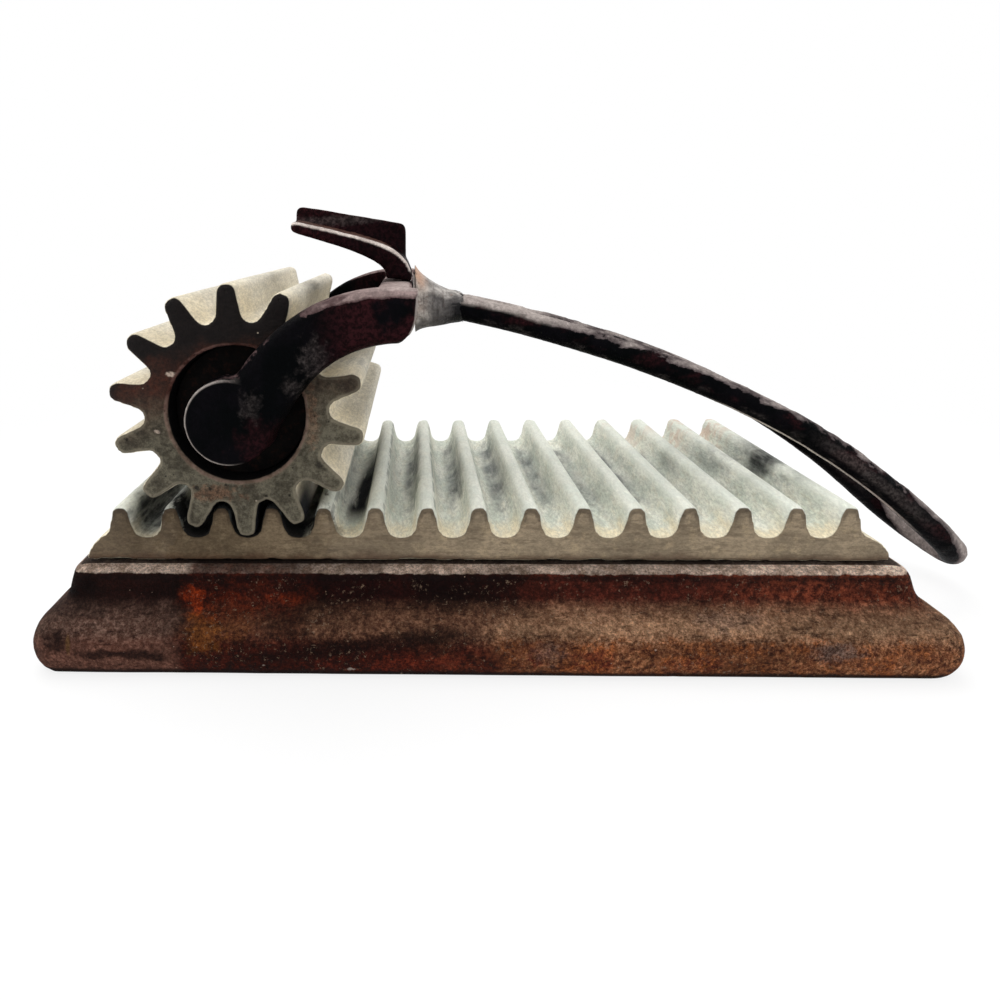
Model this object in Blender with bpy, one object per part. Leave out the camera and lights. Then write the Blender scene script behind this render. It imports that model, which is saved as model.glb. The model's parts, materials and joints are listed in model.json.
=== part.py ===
# A hand fluting iron: a toothed roller in a hand-held yoke rolls over a toothed bed and crimps cloth between them.
# The bed lies along X, its flutes run along Y, +Z is up. The origin is on the table, under the middle of the whole
# object's outline. Roller, yoke and handle are modelled about the axle, which is the parent of all three.

import math

import bmesh
import bpy
from mathutils import Vector

MM = 0.001
GAP = 0.3 * MM  # clearance between pieces that touch
OVERRUN = 2.0 * MM  # how far a cutter runs past the face that it opens

# Fluted bed
PITCH = 9.525 * MM
BED_TEETH = 15
BED_DEPTH = 72.0 * MM
BED_FLOOR = 4.7 * MM  # metal under the grooves
TOOTH_HEIGHT = 6.0 * MM
CREST_HALF = 1.6 * MM
CREST_RADIUS = 1.4 * MM
GROOVE_HALF = 2.5 * MM
GROOVE_RADIUS = 2.1 * MM
LEDGE_LEFT = 7.1 * MM  # first tooth's middle to the bed's left end
LEDGE_RIGHT = 8.25 * MM
# The bed's end below the last tooth: inward share of the ledge, height share of the floor, from the foot up
LEDGE_SHARES = ((0.0, 0.0), (0.03, 0.26), (0.12, 0.52), (0.26, 0.78), (0.44, 0.93))

# Cast base
PLINTH_HEIGHT = 18.8 * MM
OVERHANG_LEFT = 9.45 * MM  # foot beyond the bed
OVERHANG_RIGHT = 11.5 * MM
OVERHANG_SIDES = 9.4 * MM
TAIL_PAST = 23.25 * MM  # the handle's tail beyond the foot's right end
DECK_CORNER = 2.0 * MM  # corner radius, from above, of the deck that carries the bed
FOOT_CORNER = 5.0 * MM  # the same where the foot is widest
DECK_THICKNESS = 4.5 * MM
WALL_INSET = 5.0 * MM  # the hollow underneath starts this far inside the bed's outline
# The moulding from the deck's edge down to the table: outward share of the overhang, height share of the base
BEAD_SHARES = ((0.04, 1.0), (0.17, 0.985), (0.26, 0.945), (0.31, 0.885), (0.33, 0.83))
COVE_SHARES = ((0.36, 0.76), (0.42, 0.69), (0.54, 0.625), (0.70, 0.575))
TORUS_SHARES = ((0.83, 0.52), (0.94, 0.43), (0.99, 0.33), (1.0, 0.23), (0.96, 0.12), (0.88, 0.04), (0.80, 0.0))

# Screws that hold the bed down from below
SCREW_RADIUS = 2.0 * MM
SCREW_HEAD_RADIUS = 3.8 * MM
SCREW_HEAD_HEIGHT = 2.2 * MM
SCREW_SLOT_WIDTH = 0.9 * MM
SCREW_SLOT_DEPTH = 1.0 * MM
SCREW_GRIP = 3.6 * MM  # how far a screw reaches into the bed
SCREW_TEETH = (2, 12)  # the teeth that have screws under them
SCREW_INSET = 14.0 * MM  # the bed's front or back edge to a screw's middle

# Roller
ROLLER_TEETH = 14
FINGER_REACH = 2.078 * MM  # the teeth's tips stand out this far beyond the circle that rolls along the bed
FINGER_LENGTH = 6.5 * MM  # tip to the floor between two teeth
FINGER_HALF = 1.8 * MM
FINGER_RADIUS = 1.5 * MM
VALLEY_HALF = 1.6 * MM
VALLEY_RADIUS = 1.3 * MM
ROLLER_OVERLAP = 1.0 * MM  # the roller passes the bed by this much at each end
SLEEVE_WALL = 4.5 * MM  # bore to the floor between two teeth
HUB_RECESS = 4.5 * MM
HUB_THICKNESS = 5.0 * MM
HUB_NOSE_RADIUS = 6.0 * MM
HUB_NOSE_INSET = 1.0 * MM  # the hub's nose ends this far inside the roller's end
AXLE_RADIUS = 3.0 * MM
WASHER_RADIUS = 5.4 * MM
WASHER_THICKNESS = 1.0 * MM
REST_PITCH_SHARE = 2.43  # first tooth to the axle at rest, as a share of the pitch

# Yoke: places are along X and Z from the axle
BOSS_RADIUS = 7.7 * MM
BOSS_ROUND = 0.9 * MM
BOSS_PROUD = 0.4 * MM  # the boss stands out of the arm's outer face
BOSS_BORE_DEPTH = 4.0 * MM
ARM_THICKNESS = 6.0 * MM
ARM_ROUND = 2.6 * MM
ARM_INNER_ROUND = 0.5 * MM
ARM_START = (1.8 * MM, -2.2 * MM)
ARM_BEND = (12.2 * MM, 19.7 * MM)
ARM_END = (32.2 * MM, 17.6 * MM)
ARM_WIDTH_START = 11.4 * MM
ARM_WIDTH_END = 9.3 * MM
ARM_STANDOFF = 0.3 * MM  # the arm's inner face lies this far outside its boss's
# The arm's lower back corner is cut away along these places, along X and Z from the arm's end
ARM_END_CUT = ((0.0, 0.0), (-0.45 * MM, -1.9 * MM), (-1.75 * MM, -3.55 * MM), (-2.8 * MM, -4.6 * MM))
BRIDGE_LENGTH = 7.2 * MM  # along the arm
BRIDGE_INSET = 0.6 * MM  # the bridge is this much smaller than the arm's end, all round
BRIDGE_ROUND = 1.4 * MM

# Neck that joins yoke and handle
NECK_FLARE_HEIGHT = 14.4 * MM
NECK_HEIGHT = 6.8 * MM
NECK_WIDTH = 16.0 * MM
NECK_END_WIDTH = 14.0 * MM
NECK_ROUND_SHARE = 0.49  # corner radius of the neck's section, as a share of its smaller height
# Along the neck: share of its length, share of the way from flare height to neck height
NECK_FLARE_SHARES = ((0.0, 0.0), (0.05, 0.16), (0.12, 0.3), (0.24, 0.43), (0.38, 0.54))
NECK_END_SHARES = ((0.54, 0.69), (0.7, 0.84), (0.84, 0.95), (1.0, 1.0))
SOCKET_DEPTH = 4.0 * MM  # how far the rod's ends reach into the neck

# Handle: one rod bent to a long loop, its places along X and Z from the axle
ROD_RADIUS = 2.8 * MM
HANDLE_START = (38.5 * MM, 16.4 * MM)
# The two control points between the rod's ends: share of the handle's reach, height from the axle
RISE_SHARE = 0.741
RISE_HEIGHT = 0.8 * MM
FALL_SHARE = 0.8635
FALL_HEIGHT = -25.1 * MM
TAIL_HEIGHT = 5.2 * MM  # the tail's underside above the table
HANDLE_NARROW = 3.6 * MM  # middle of the object to the rod's middle, at the neck
HANDLE_WIDE = 13.0 * MM  # the same near the tail
WIDEN_SHARE = 0.62  # share of the length over which the two bars part
STRAIGHT_STEP_COUNT = 20
BEND_STEP_COUNT = 7
LENGTH_STEP_COUNT = 200

# Thumb rest on the bridge: places are along X from the axle, and up from the bridge
REST_WIDTH = 17.0 * MM
REST_CROWN = 0.4 * MM  # the middle of the blade stands above its edges
REST_ROOT_THICKNESS = 5.7 * MM
REST_TIP_THICKNESS = 2.8 * MM
REST_ROOT_X = 28.6 * MM
REST_KNEE = (29.2 * MM, 4.9 * MM)
REST_BEND = (24.0 * MM, 6.6 * MM)
REST_TIP = (7.8 * MM, 10.9 * MM)
CROWN_SHARE = 0.3  # share of the blade's length over which its crown grows
CROWN_STEP_COUNT = 6
TIP_ROUND_DEGREES = (30, 55, 75)
RIB_THICKNESS = 4.2 * MM
RIB_LEFT = 6.9 * MM
RIB_RIGHT = 30.1 * MM
RIB_TOP_LEFT = 15.1 * MM
RIB_TOP_RIGHT = 11.5 * MM
RIB_FOOT_RIGHT = 2.4 * MM  # where the rib's back edge goes into the blade
RIB_CORNER = 1.4 * MM

ARC_STEPS = 5
CORNER_STEPS = 5
ROUND_STEPS = 48
ROD_SIDES = 12

# Places that follow from the sizes
BED_LENGTH = LEDGE_LEFT + (BED_TEETH - 1) * PITCH + LEDGE_RIGHT
BASE_X = (OVERHANG_LEFT - OVERHANG_RIGHT - TAIL_PAST) / 2
FIRST_TOOTH_X = BASE_X - BED_LENGTH / 2 + LEDGE_LEFT
BED_Z = PLINTH_HEIGHT + GAP
GROOVE_Z = BED_Z + BED_FLOOR
ROLLER_TIP = ROLLER_TEETH * PITCH / (2 * math.pi) + FINGER_REACH
ROLLER_ROOT = ROLLER_TIP - FINGER_LENGTH
BORE_RADIUS = ROLLER_ROOT - SLEEVE_WALL
AXLE_X = FIRST_TOOTH_X + REST_PITCH_SHARE * PITCH
AXLE_Z = GROOVE_Z + GAP + ROLLER_TIP
HANDLE_REACH = BASE_X + BED_LENGTH / 2 + OVERHANG_RIGHT + TAIL_PAST - AXLE_X
ROLLER_HALF = BED_DEPTH / 2 + ROLLER_OVERLAP
NOSE_Y = ROLLER_HALF - HUB_NOSE_INSET
WASHER_Y = NOSE_Y + GAP
BOSS_Y = WASHER_Y + WASHER_THICKNESS + GAP
ARM_Y = BOSS_Y + ARM_STANDOFF
BRIDGE_TOP = ARM_END[1] + ARM_WIDTH_END / 2 - BRIDGE_INSET
BRIDGE_RIGHT = ARM_END[0] - BRIDGE_INSET
TAIL_Z = TAIL_HEIGHT + ROD_RADIUS - AXLE_Z
ROLLER_LEAN = (math.floor(REST_PITCH_SHARE) + 1 / 2 - REST_PITCH_SHARE) * 2 * math.pi / ROLLER_TEETH


def arc(centre, radius, start, end, steps=ARC_STEPS):
    """Points on an arc in a plane, from one angle to another."""
    angles = [start + (end - start) * k / steps for k in range(steps + 1)]
    return [(centre[0] + radius * math.cos(a), centre[1] + radius * math.sin(a)) for a in angles]


def tangent_angles(centre_a, centre_b, reach):
    """The two directions in which a straight flank can leave circle a to meet circle b on its other side."""
    dx, dy = centre_b[0] - centre_a[0], centre_b[1] - centre_a[1]
    line, swing = math.atan2(dy, dx), math.acos(reach / math.hypot(dx, dy))
    return line + swing, line - swing


def bezier(points, t):
    """A point on the curve of a few control points."""
    while len(points) > 1:
        points = [tuple(a + (b - a) * t for a, b in zip(p, q)) for p, q in zip(points, points[1:])]
    return points[0]


def bezier_slope(points, t):
    """The unit tangent of the same curve, in its plane."""
    before, after = bezier(points[:-1], t), bezier(points[1:], t)
    return Vector((after[0] - before[0], after[1] - before[1])).normalized()


def loft(name, rings, cyclic=False):
    """A closed body through rings of equal length, capped at both ends or joined round to its start."""
    bm = bmesh.new()
    rows = [[bm.verts.new(p) for p in ring] for ring in rings]
    count = len(rows[0])
    pairs = list(zip(rows, rows[1:])) + ([(rows[-1], rows[0])] if cyclic else [])
    for low, high in pairs:
        for i in range(count):
            j = (i + 1) % count
            bm.faces.new((low[i], low[j], high[j], high[i]))
    if not cyclic:
        bm.faces.new(rows[0])
        bm.faces.new(rows[-1])
    bmesh.ops.recalc_face_normals(bm, faces=bm.faces)
    mesh = bpy.data.meshes.new(name)
    bm.to_mesh(mesh)
    bm.free()
    made = bpy.data.objects.new(name, mesh)
    bpy.context.collection.objects.link(made)
    return made


def prism(name, outline, y_low, y_high):
    """An outline in X and Z, drawn out along Y."""
    return loft(name, [[(x, y, z) for x, z in outline] for y in (y_low, y_high)])


def turned(name, profile, steps=ROUND_STEPS, cyclic=False):
    """A profile of (radius, place along Y) turned about the Y axis; a cyclic one leaves a bore."""
    turns = [2 * math.pi * k / steps for k in range(steps)]
    return loft(name, [[(r * math.cos(a), y, r * math.sin(a)) for a in turns] for r, y in profile], cyclic=cyclic)


def upright(name, profile, place, steps=ROUND_STEPS):
    """A profile of (radius, height) turned about a vertical axis at a place in X and Y."""
    turns = [2 * math.pi * k / steps for k in range(steps)]
    rings = [[(place[0] + r * math.cos(a), place[1] + r * math.sin(a), z) for a in turns] for r, z in profile]
    return loft(name, rings)


def cut(target, tool, operation="DIFFERENCE"):
    """Cuts the tool out of the target, or joins it on, and removes the tool."""
    step = target.modifiers.new("step", "BOOLEAN")
    step.operation = operation
    step.object = tool
    bpy.context.view_layer.update()
    mesh = bpy.data.meshes.new_from_object(target.evaluated_get(bpy.context.evaluated_depsgraph_get()))
    target.modifiers.remove(step)
    old = target.data
    target.data = mesh
    mesh.name = target.name
    bpy.data.meshes.remove(old)
    bpy.data.objects.remove(tool)
    return target


def finish_piece(piece, material, parent=None, smooth_angle=math.radians(32)):
    """Gives a piece its material, its shading and its parent."""
    piece.data.materials.clear()
    piece.data.materials.append(material)
    piece.data.shade_smooth()
    piece.data.set_sharp_from_angle(angle=smooth_angle)
    piece.parent = parent
    return piece


def metal(name, colour, roughness, metallic):
    """A plain material with the colour of one metal or paint."""
    made = bpy.data.materials.new(name)
    made.use_nodes = True
    shader = made.node_tree.nodes["Principled BSDF"]
    shader.inputs["Base Color"].default_value = (*colour, 1.0)
    shader.inputs["Roughness"].default_value = roughness
    shader.inputs["Metallic"].default_value = metallic
    made.diffuse_color = (*colour, 1.0)
    return made


def empty(name, place, parent=None):
    """A frame that carries moving pieces, on the axis that they turn about."""
    made = bpy.data.objects.new(name, None)
    bpy.context.collection.objects.link(made)
    made.location = place
    made.parent = parent
    return made


def rounded_rectangle(half_x, half_y, radius, steps=CORNER_STEPS):
    """The outline of a plate with rounded corners, about zero."""
    points = []
    for turn, (sx, sy) in enumerate(((1, 1), (-1, 1), (-1, -1), (1, -1))):
        start = turn * math.pi / 2
        centre = (sx * (half_x - radius), sy * (half_y - radius))
        points += arc(centre, radius, start, start + math.pi / 2, steps)
    return points


def bed_tooth():
    """The right half of a bed tooth, from the middle of its crest to the groove's floor, from zero at its middle."""
    crest = (CREST_HALF - CREST_RADIUS, TOOTH_HEIGHT - CREST_RADIUS)
    groove = (PITCH / 2 - GROOVE_HALF + GROOVE_RADIUS, GROOVE_RADIUS)
    flank = tangent_angles(crest, groove, CREST_RADIUS + GROOVE_RADIUS)[0]
    top = arc(crest, CREST_RADIUS, math.pi / 2, flank)
    return top + arc(groove, GROOVE_RADIUS, flank + math.pi, math.pi * 3 / 2)


def bed_outline():
    """The bed from the front: teeth, a sloped ledge at each end, and a flat underside."""
    half = bed_tooth()
    points = []
    for i in range(BED_TEETH):
        x = FIRST_TOOTH_X + i * PITCH
        points += [(x - u, GROOVE_Z + v) for u, v in reversed(half)] + [(x + u, GROOVE_Z + v) for u, v in half]
    left, right = FIRST_TOOTH_X - LEDGE_LEFT, FIRST_TOOTH_X + BED_LENGTH - LEDGE_LEFT
    points += [(right - u * LEDGE_RIGHT, BED_Z + v * BED_FLOOR) for u, v in reversed(LEDGE_SHARES)]
    points += [(left + u * LEDGE_LEFT, BED_Z + v * BED_FLOOR) for u, v in LEDGE_SHARES]
    return points


def screw_places():
    """Where the bed's screws stand, in X and Y."""
    reach = BED_DEPTH / 2 - SCREW_INSET
    return [(FIRST_TOOTH_X + tooth * PITCH, side * reach) for tooth in SCREW_TEETH for side in (-1, 1)]


def fluted_bed():
    """The toothed plate, with blind holes underneath for its screws."""
    bed = prism("fluted_bed", bed_outline(), -BED_DEPTH / 2, BED_DEPTH / 2)
    for place in screw_places():
        hole = [(SCREW_RADIUS + GAP, BED_Z - OVERRUN), (SCREW_RADIUS + GAP, BED_Z + SCREW_GRIP + GAP)]
        cut(bed, upright("hole", hole, place, ROUND_STEPS // 2))
    return bed


def base_plinth():
    """The cast base: a flat deck, a bead, a cove and a round foot all round, hollow underneath."""
    half_x, half_y = BED_LENGTH / 2, BED_DEPTH / 2
    rings = []
    for out, high in BEAD_SHARES + COVE_SHARES + TORUS_SHARES:
        reach_x = half_x + out * (OVERHANG_LEFT + OVERHANG_RIGHT) / 2
        middle_x = BASE_X + out * (OVERHANG_RIGHT - OVERHANG_LEFT) / 2
        corner = DECK_CORNER + out * (FOOT_CORNER - DECK_CORNER)
        outline = rounded_rectangle(reach_x, half_y + out * OVERHANG_SIDES, corner)
        rings.append([(middle_x + x, y, high * PLINTH_HEIGHT) for x, y in outline])
    hollow = rounded_rectangle(half_x - WALL_INSET, half_y - WALL_INSET, DECK_CORNER)
    for z in (0, PLINTH_HEIGHT - DECK_THICKNESS):
        rings.append([(BASE_X + x, y, z) for x, y in hollow])
    plinth = loft("base_plinth", rings)
    for place in screw_places():
        hole = [(SCREW_RADIUS + GAP, PLINTH_HEIGHT - DECK_THICKNESS - OVERRUN), (SCREW_RADIUS + GAP, BED_Z + OVERRUN)]
        cut(plinth, upright("hole", hole, place, ROUND_STEPS // 2))
    return plinth


def bed_screw(name, place):
    """A slotted cheese-head screw, head down in the base's hollow."""
    head_top = PLINTH_HEIGHT - DECK_THICKNESS - GAP
    head_low = head_top - SCREW_HEAD_HEIGHT
    edge = SCREW_HEAD_HEIGHT / 4
    profile = [
        (SCREW_HEAD_RADIUS - edge, head_low),
        (SCREW_HEAD_RADIUS, head_low + edge),
        (SCREW_HEAD_RADIUS, head_top),
        (SCREW_RADIUS, head_top),
        (SCREW_RADIUS, BED_Z + SCREW_GRIP),
    ]
    screw = upright(name, profile, place, ROUND_STEPS // 2)
    reach = SCREW_HEAD_RADIUS + OVERRUN
    half = SCREW_SLOT_WIDTH / 2
    corners = [(-reach, -half), (reach, -half), (reach, half), (-reach, half)]
    heights = (head_low - OVERRUN, head_low + SCREW_SLOT_DEPTH)
    slot = loft("slot", [[(place[0] + x, place[1] + y, z) for x, y in corners] for z in heights])
    return cut(screw, slot)


def roller_finger():
    """One roller tooth along +X, from the middle of one valley to the middle of the next."""
    step = math.pi / ROLLER_TEETH
    tip = (ROLLER_TIP - FINGER_RADIUS, FINGER_HALF - FINGER_RADIUS)
    along, across = ROLLER_ROOT + VALLEY_RADIUS, VALLEY_HALF - VALLEY_RADIUS
    valley = (
        along * math.cos(step) + across * math.sin(step),
        along * math.sin(step) - across * math.cos(step),
    )
    flank = tangent_angles(tip, valley, FINGER_RADIUS + VALLEY_RADIUS)[1]
    half = arc(tip, FINGER_RADIUS, 0, flank) + arc(valley, VALLEY_RADIUS, flank + math.pi, step + math.pi)
    return [(u, -v) for u, v in reversed(half)] + half


def roller_outline():
    """All the roller's teeth, turned so that they mesh with the bed where the roller rests."""
    finger = roller_finger()
    points = []
    for i in range(ROLLER_TEETH):
        turn = 2 * math.pi * i / ROLLER_TEETH - math.pi / 2 + ROLLER_LEAN
        c, s = math.cos(turn), math.sin(turn)
        points += [(u * c - v * s, u * s + v * c) for u, v in finger]
    return points


def roller_shell():
    """The fluted sleeve, open at both ends."""
    shell = prism("roller_shell", roller_outline(), -ROLLER_HALF, ROLLER_HALF)
    reach = ROLLER_HALF + OVERRUN
    return cut(shell, turned("bore", [(BORE_RADIUS, -reach), (BORE_RADIUS, reach)]))


def roller_hub(name, side):
    """A disc that closes one end of the sleeve and carries it on the axle, with a nose towards the yoke."""
    outer, bore = BORE_RADIUS - GAP, AXLE_RADIUS + GAP
    face = ROLLER_HALF - HUB_RECESS
    profile = [(bore, face - HUB_THICKNESS), (outer, face - HUB_THICKNESS), (outer, face)]
    profile += [(HUB_NOSE_RADIUS, face), (HUB_NOSE_RADIUS, NOSE_Y), (bore, NOSE_Y)]
    return turned(name, [(r, side * y) for r, y in profile], cyclic=True)


def axle():
    """The plain pin that the roller turns on, hidden in the yoke's bosses."""
    end = BOSS_Y + BOSS_BORE_DEPTH - GAP
    edge = AXLE_RADIUS / 5
    half = [(AXLE_RADIUS, end - edge), (AXLE_RADIUS - edge, end)]
    return turned("axle", [(r, -y) for r, y in reversed(half)] + half, ROUND_STEPS // 2)


def axle_washer(name, side):
    """A thrust washer between the roller's hub and the yoke's boss."""
    low, high = WASHER_Y, WASHER_Y + WASHER_THICKNESS
    bore = AXLE_RADIUS + GAP
    profile = [(bore, low), (WASHER_RADIUS, low), (WASHER_RADIUS, high), (bore, high)]
    return turned(name, [(r, side * y) for r, y in profile], cyclic=True)


def arm_section(t, side):
    """One cross-section of an arm: flat towards the roller, well rounded outside."""
    curve = (ARM_START, ARM_BEND, ARM_END)
    x, z = bezier(curve, t)
    slope = bezier_slope(curve, t)
    half = (ARM_WIDTH_START + (ARM_WIDTH_END - ARM_WIDTH_START) * t) / 2
    inner, outer, quarter = ARM_INNER_ROUND, ARM_ROUND, math.pi / 2
    outline = arc((half - inner, inner), inner, -quarter, 0, 1)
    outline += arc((half - outer, ARM_THICKNESS - outer), outer, 0, quarter, 4)
    outline += arc((outer - half, ARM_THICKNESS - outer), outer, quarter, 2 * quarter, 4)
    outline += arc((inner - half, inner), inner, 2 * quarter, 3 * quarter, 1)
    return [(x - u * slope.y, side * (ARM_Y + v), z + u * slope.x) for u, v in outline]


def yoke_arm(side):
    """An arm that curves from its boss up and over the roller's end to the bridge."""
    steps = 3 * ARC_STEPS
    return loft("arm", [arm_section(k / steps, side) for k in range(steps + 1)])


def arm_corner(side):
    """What is cut off the lower back corner of an arm."""
    low_x, low_z = ARM_END_CUT[-1]
    low_z -= OVERRUN
    outline = [*ARM_END_CUT, (low_x - OVERRUN, low_z), (OVERRUN, low_z), (OVERRUN, 0)]
    reach = ARM_Y + ARM_THICKNESS + OVERRUN
    return prism("corner", [(ARM_END[0] + x, ARM_END[1] + z) for x, z in outline], side * (ARM_Y - GAP), side * reach)


def yoke_boss(side):
    """The round end of an arm, that holds the axle."""
    outer = ARM_Y + ARM_THICKNESS + BOSS_PROUD
    rim = [(BOSS_RADIUS - BOSS_ROUND + r, outer - BOSS_ROUND + y) for r, y in arc((0, 0), BOSS_ROUND, 0, math.pi / 2, 3)]
    return turned("boss", [(r, side * y) for r, y in [(BOSS_RADIUS, BOSS_Y)] + rim])


def yoke_bridge():
    """The bar that joins the two arms behind the roller."""
    half_z = ARM_WIDTH_END / 2 - BRIDGE_INSET
    outline = rounded_rectangle(BRIDGE_LENGTH / 2, half_z, BRIDGE_ROUND, 3)
    middle_x = BRIDGE_RIGHT - BRIDGE_LENGTH / 2
    reach = ARM_Y + ARM_THICKNESS / 2
    return prism("bridge", [(middle_x + x, ARM_END[1] + z) for x, z in outline], -reach, reach)


def yoke():
    """The forked casting that holds the roller."""
    body = yoke_bridge()
    body.name = "yoke"
    for side in (-1, 1):
        arm = cut(yoke_boss(side), yoke_arm(side), "UNION")
        cut(body, arm, "UNION")
        cut(body, arm_corner(side))
    for side in (-1, 1):
        bore = [(AXLE_RADIUS + GAP, side * (BOSS_Y - OVERRUN)), (AXLE_RADIUS + GAP, side * (BOSS_Y + BOSS_BORE_DEPTH))]
        cut(body, turned("bore", bore, steps=ROUND_STEPS // 2))
    return body


def handle_curve():
    """The control points of the handle's side view, from the neck to the tail."""
    rise = (HANDLE_REACH * RISE_SHARE, RISE_HEIGHT)
    fall = (HANDLE_REACH * FALL_SHARE, FALL_HEIGHT)
    return (HANDLE_START, rise, fall, (HANDLE_REACH - ROD_RADIUS, TAIL_Z))


def handle_lengths():
    """How long the side view's curve is, up to each of many even steps of its parameter."""
    places = [bezier(handle_curve(), k / LENGTH_STEP_COUNT) for k in range(LENGTH_STEP_COUNT + 1)]
    lengths = [0]
    for a, b in zip(places, places[1:]):
        lengths.append(lengths[-1] + math.dist(a, b))
    return lengths


def handle_at(lengths, place):
    """The side view's point at a distance along the curve, and the direction across the curve there."""
    k = sum(1 for length in lengths[1:-1] if length <= place)
    t = (k + (place - lengths[k]) / (lengths[k + 1] - lengths[k])) / LENGTH_STEP_COUNT
    x, z = bezier(handle_curve(), t)
    slope = bezier_slope(handle_curve(), t)
    return x, z, Vector((-slope.y, 0, slope.x))


def handle_spread(share):
    """Half the distance between the bars, which part smoothly from the neck until they run side by side."""
    t = min(share / WIDEN_SHARE, 1)
    return HANDLE_NARROW + (HANDLE_WIDE - HANDLE_NARROW) * t * t * (3 - 2 * t)


def bar_path(stations, lengths):
    """Points of the near bar, each with the direction across the rod; a station is a distance from the neck and
    the share that is left there of the bars' spread."""
    path = []
    for place, share in stations:
        x, z, across = handle_at(lengths, place)
        path.append((Vector((x, -handle_spread(place / lengths[-1]) * share, z)), across))
    return path


def rod(name, path, radius):
    """A round rod along a path of points, each with a direction across it."""
    turns = [2 * math.pi * k / ROD_SIDES for k in range(ROD_SIDES)]
    rings = []
    for i, (point, across) in enumerate(path):
        along = (path[min(i + 1, len(path) - 1)][0] - path[max(i - 1, 0)][0]).normalized()
        side = along.cross(across).normalized()
        up = side.cross(along)
        rings.append([point + (up * math.cos(a) + side * math.sin(a)) * radius for a in turns])
    return loft(name, rings)


def handle_loop():
    """The rod from one neck socket round the end bend and back to the other socket."""
    lengths = handle_lengths()
    bend = lengths[-1] - HANDLE_WIDE
    stations = [(bend * k / STRAIGHT_STEP_COUNT, 1) for k in range(STRAIGHT_STEP_COUNT)]
    turns = [math.pi / 2 * k / BEND_STEP_COUNT for k in range(BEND_STEP_COUNT + 1)]
    stations += [(bend + HANDLE_WIDE * math.sin(a), math.cos(a)) for a in turns]
    near = bar_path(stations, lengths)
    far = [(Vector((p.x, -p.y, p.z)), across) for p, across in reversed(near[:-1])]
    return rod("handle_loop", near + far, ROD_RADIUS)


def neck_end():
    """The neck's outer end: its place along X and the height of the rods' middle there."""
    lengths = handle_lengths()
    x, z, _ = handle_at(lengths, SOCKET_DEPTH)
    return x, z


def neck_section(t, tall):
    """A rounded cross-section of the neck at a share of its length."""
    end_x, end_z = neck_end()
    start_x = BRIDGE_RIGHT + GAP
    x = start_x + (end_x - start_x) * t
    z = ARM_END[1] + (end_z - ARM_END[1]) * t
    height = NECK_FLARE_HEIGHT + (NECK_HEIGHT - NECK_FLARE_HEIGHT) * tall
    width = NECK_WIDTH + (NECK_END_WIDTH - NECK_WIDTH) * tall
    outline = rounded_rectangle(width / 2, height / 2, NECK_HEIGHT * NECK_ROUND_SHARE, 4)
    return [(x, y, z + v) for y, v in outline]


def neck():
    """The flared piece brazed between the yoke's bridge and the two ends of the handle's rod."""
    body = loft("neck", [neck_section(t, tall) for t, tall in NECK_FLARE_SHARES + NECK_END_SHARES])
    lengths = handle_lengths()
    places = (0, SOCKET_DEPTH / 2, SOCKET_DEPTH, SOCKET_DEPTH + OVERRUN)
    inside = bar_path([(place, 1) for place in places], lengths)
    back = (inside[0][0] - inside[1][0]).normalized() * GAP
    inside[0] = (inside[0][0] + back, inside[0][1])
    for side in (1, -1):
        path = [(Vector((p.x, side * p.y, p.z)), across) for p, across in inside]
        cut(body, rod("socket", path, ROD_RADIUS + GAP))
    return body


def rest_curve():
    """The control points of the thumb rest's blade, in its side view, from its root on the bridge to its tip."""
    floor = BRIDGE_TOP + GAP
    return ((REST_ROOT_X, floor), *((x, floor + z) for x, z in (REST_KNEE, REST_BEND, REST_TIP)))


def blade_section(t, past, shrink):
    """A crowned cross-section of the blade; past and shrink round off its tip."""
    x, z = bezier(rest_curve(), t)
    slope = bezier_slope(rest_curve(), t)
    half = (REST_ROOT_THICKNESS + (REST_TIP_THICKNESS - REST_ROOT_THICKNESS) * t) / 2 * shrink
    crown = REST_CROWN * min(1, t / CROWN_SHARE)
    width = REST_WIDTH - (1 - shrink) * REST_TIP_THICKNESS
    across = [width * (k / CROWN_STEP_COUNT - 0.5) for k in range(CROWN_STEP_COUNT + 1)]
    upper = [(y, half - crown * shrink * (2 * y / width) ** 2) for y in across]
    lower = [(y, -half) for y in reversed(across)]
    x, z = x + past * slope.x, z + past * slope.y
    return [(x + v * slope.y, y, z - v * slope.x) for y, v in upper + lower]


def thumb_rest():
    """The curled blade over the roller, with an upright rib along its middle."""
    steps, first = 2 * ARC_STEPS, 2
    rings = [blade_section(k / steps, 0, 1) for k in range(steps + 1)]
    half = REST_TIP_THICKNESS / 2
    rings += [blade_section(1, half * math.sin(a), math.cos(a)) for a in map(math.radians, TIP_ROUND_DEGREES)]
    blade = loft("thumb_rest", rings)
    floor = BRIDGE_TOP + GAP
    corners = (
        ((RIB_RIGHT - RIB_CORNER, floor + RIB_TOP_RIGHT - RIB_CORNER), 0),
        ((RIB_LEFT + RIB_CORNER, floor + RIB_TOP_LEFT - RIB_CORNER), math.pi / 2),
    )
    outline = []
    for centre, start in corners:
        outline += arc(centre, RIB_CORNER, start, start + math.pi / 2, 3)
    foot = [(RIB_LEFT, floor + REST_TIP[1])]
    foot += [bezier(rest_curve(), k / steps) for k in range(steps - 1, first, -1)]
    foot.append((RIB_RIGHT, floor + RIB_FOOT_RIGHT))
    rib = prism("rib", outline + foot, -RIB_THICKNESS / 2, RIB_THICKNESS / 2)
    return cut(blade, rib, "UNION")


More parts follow.
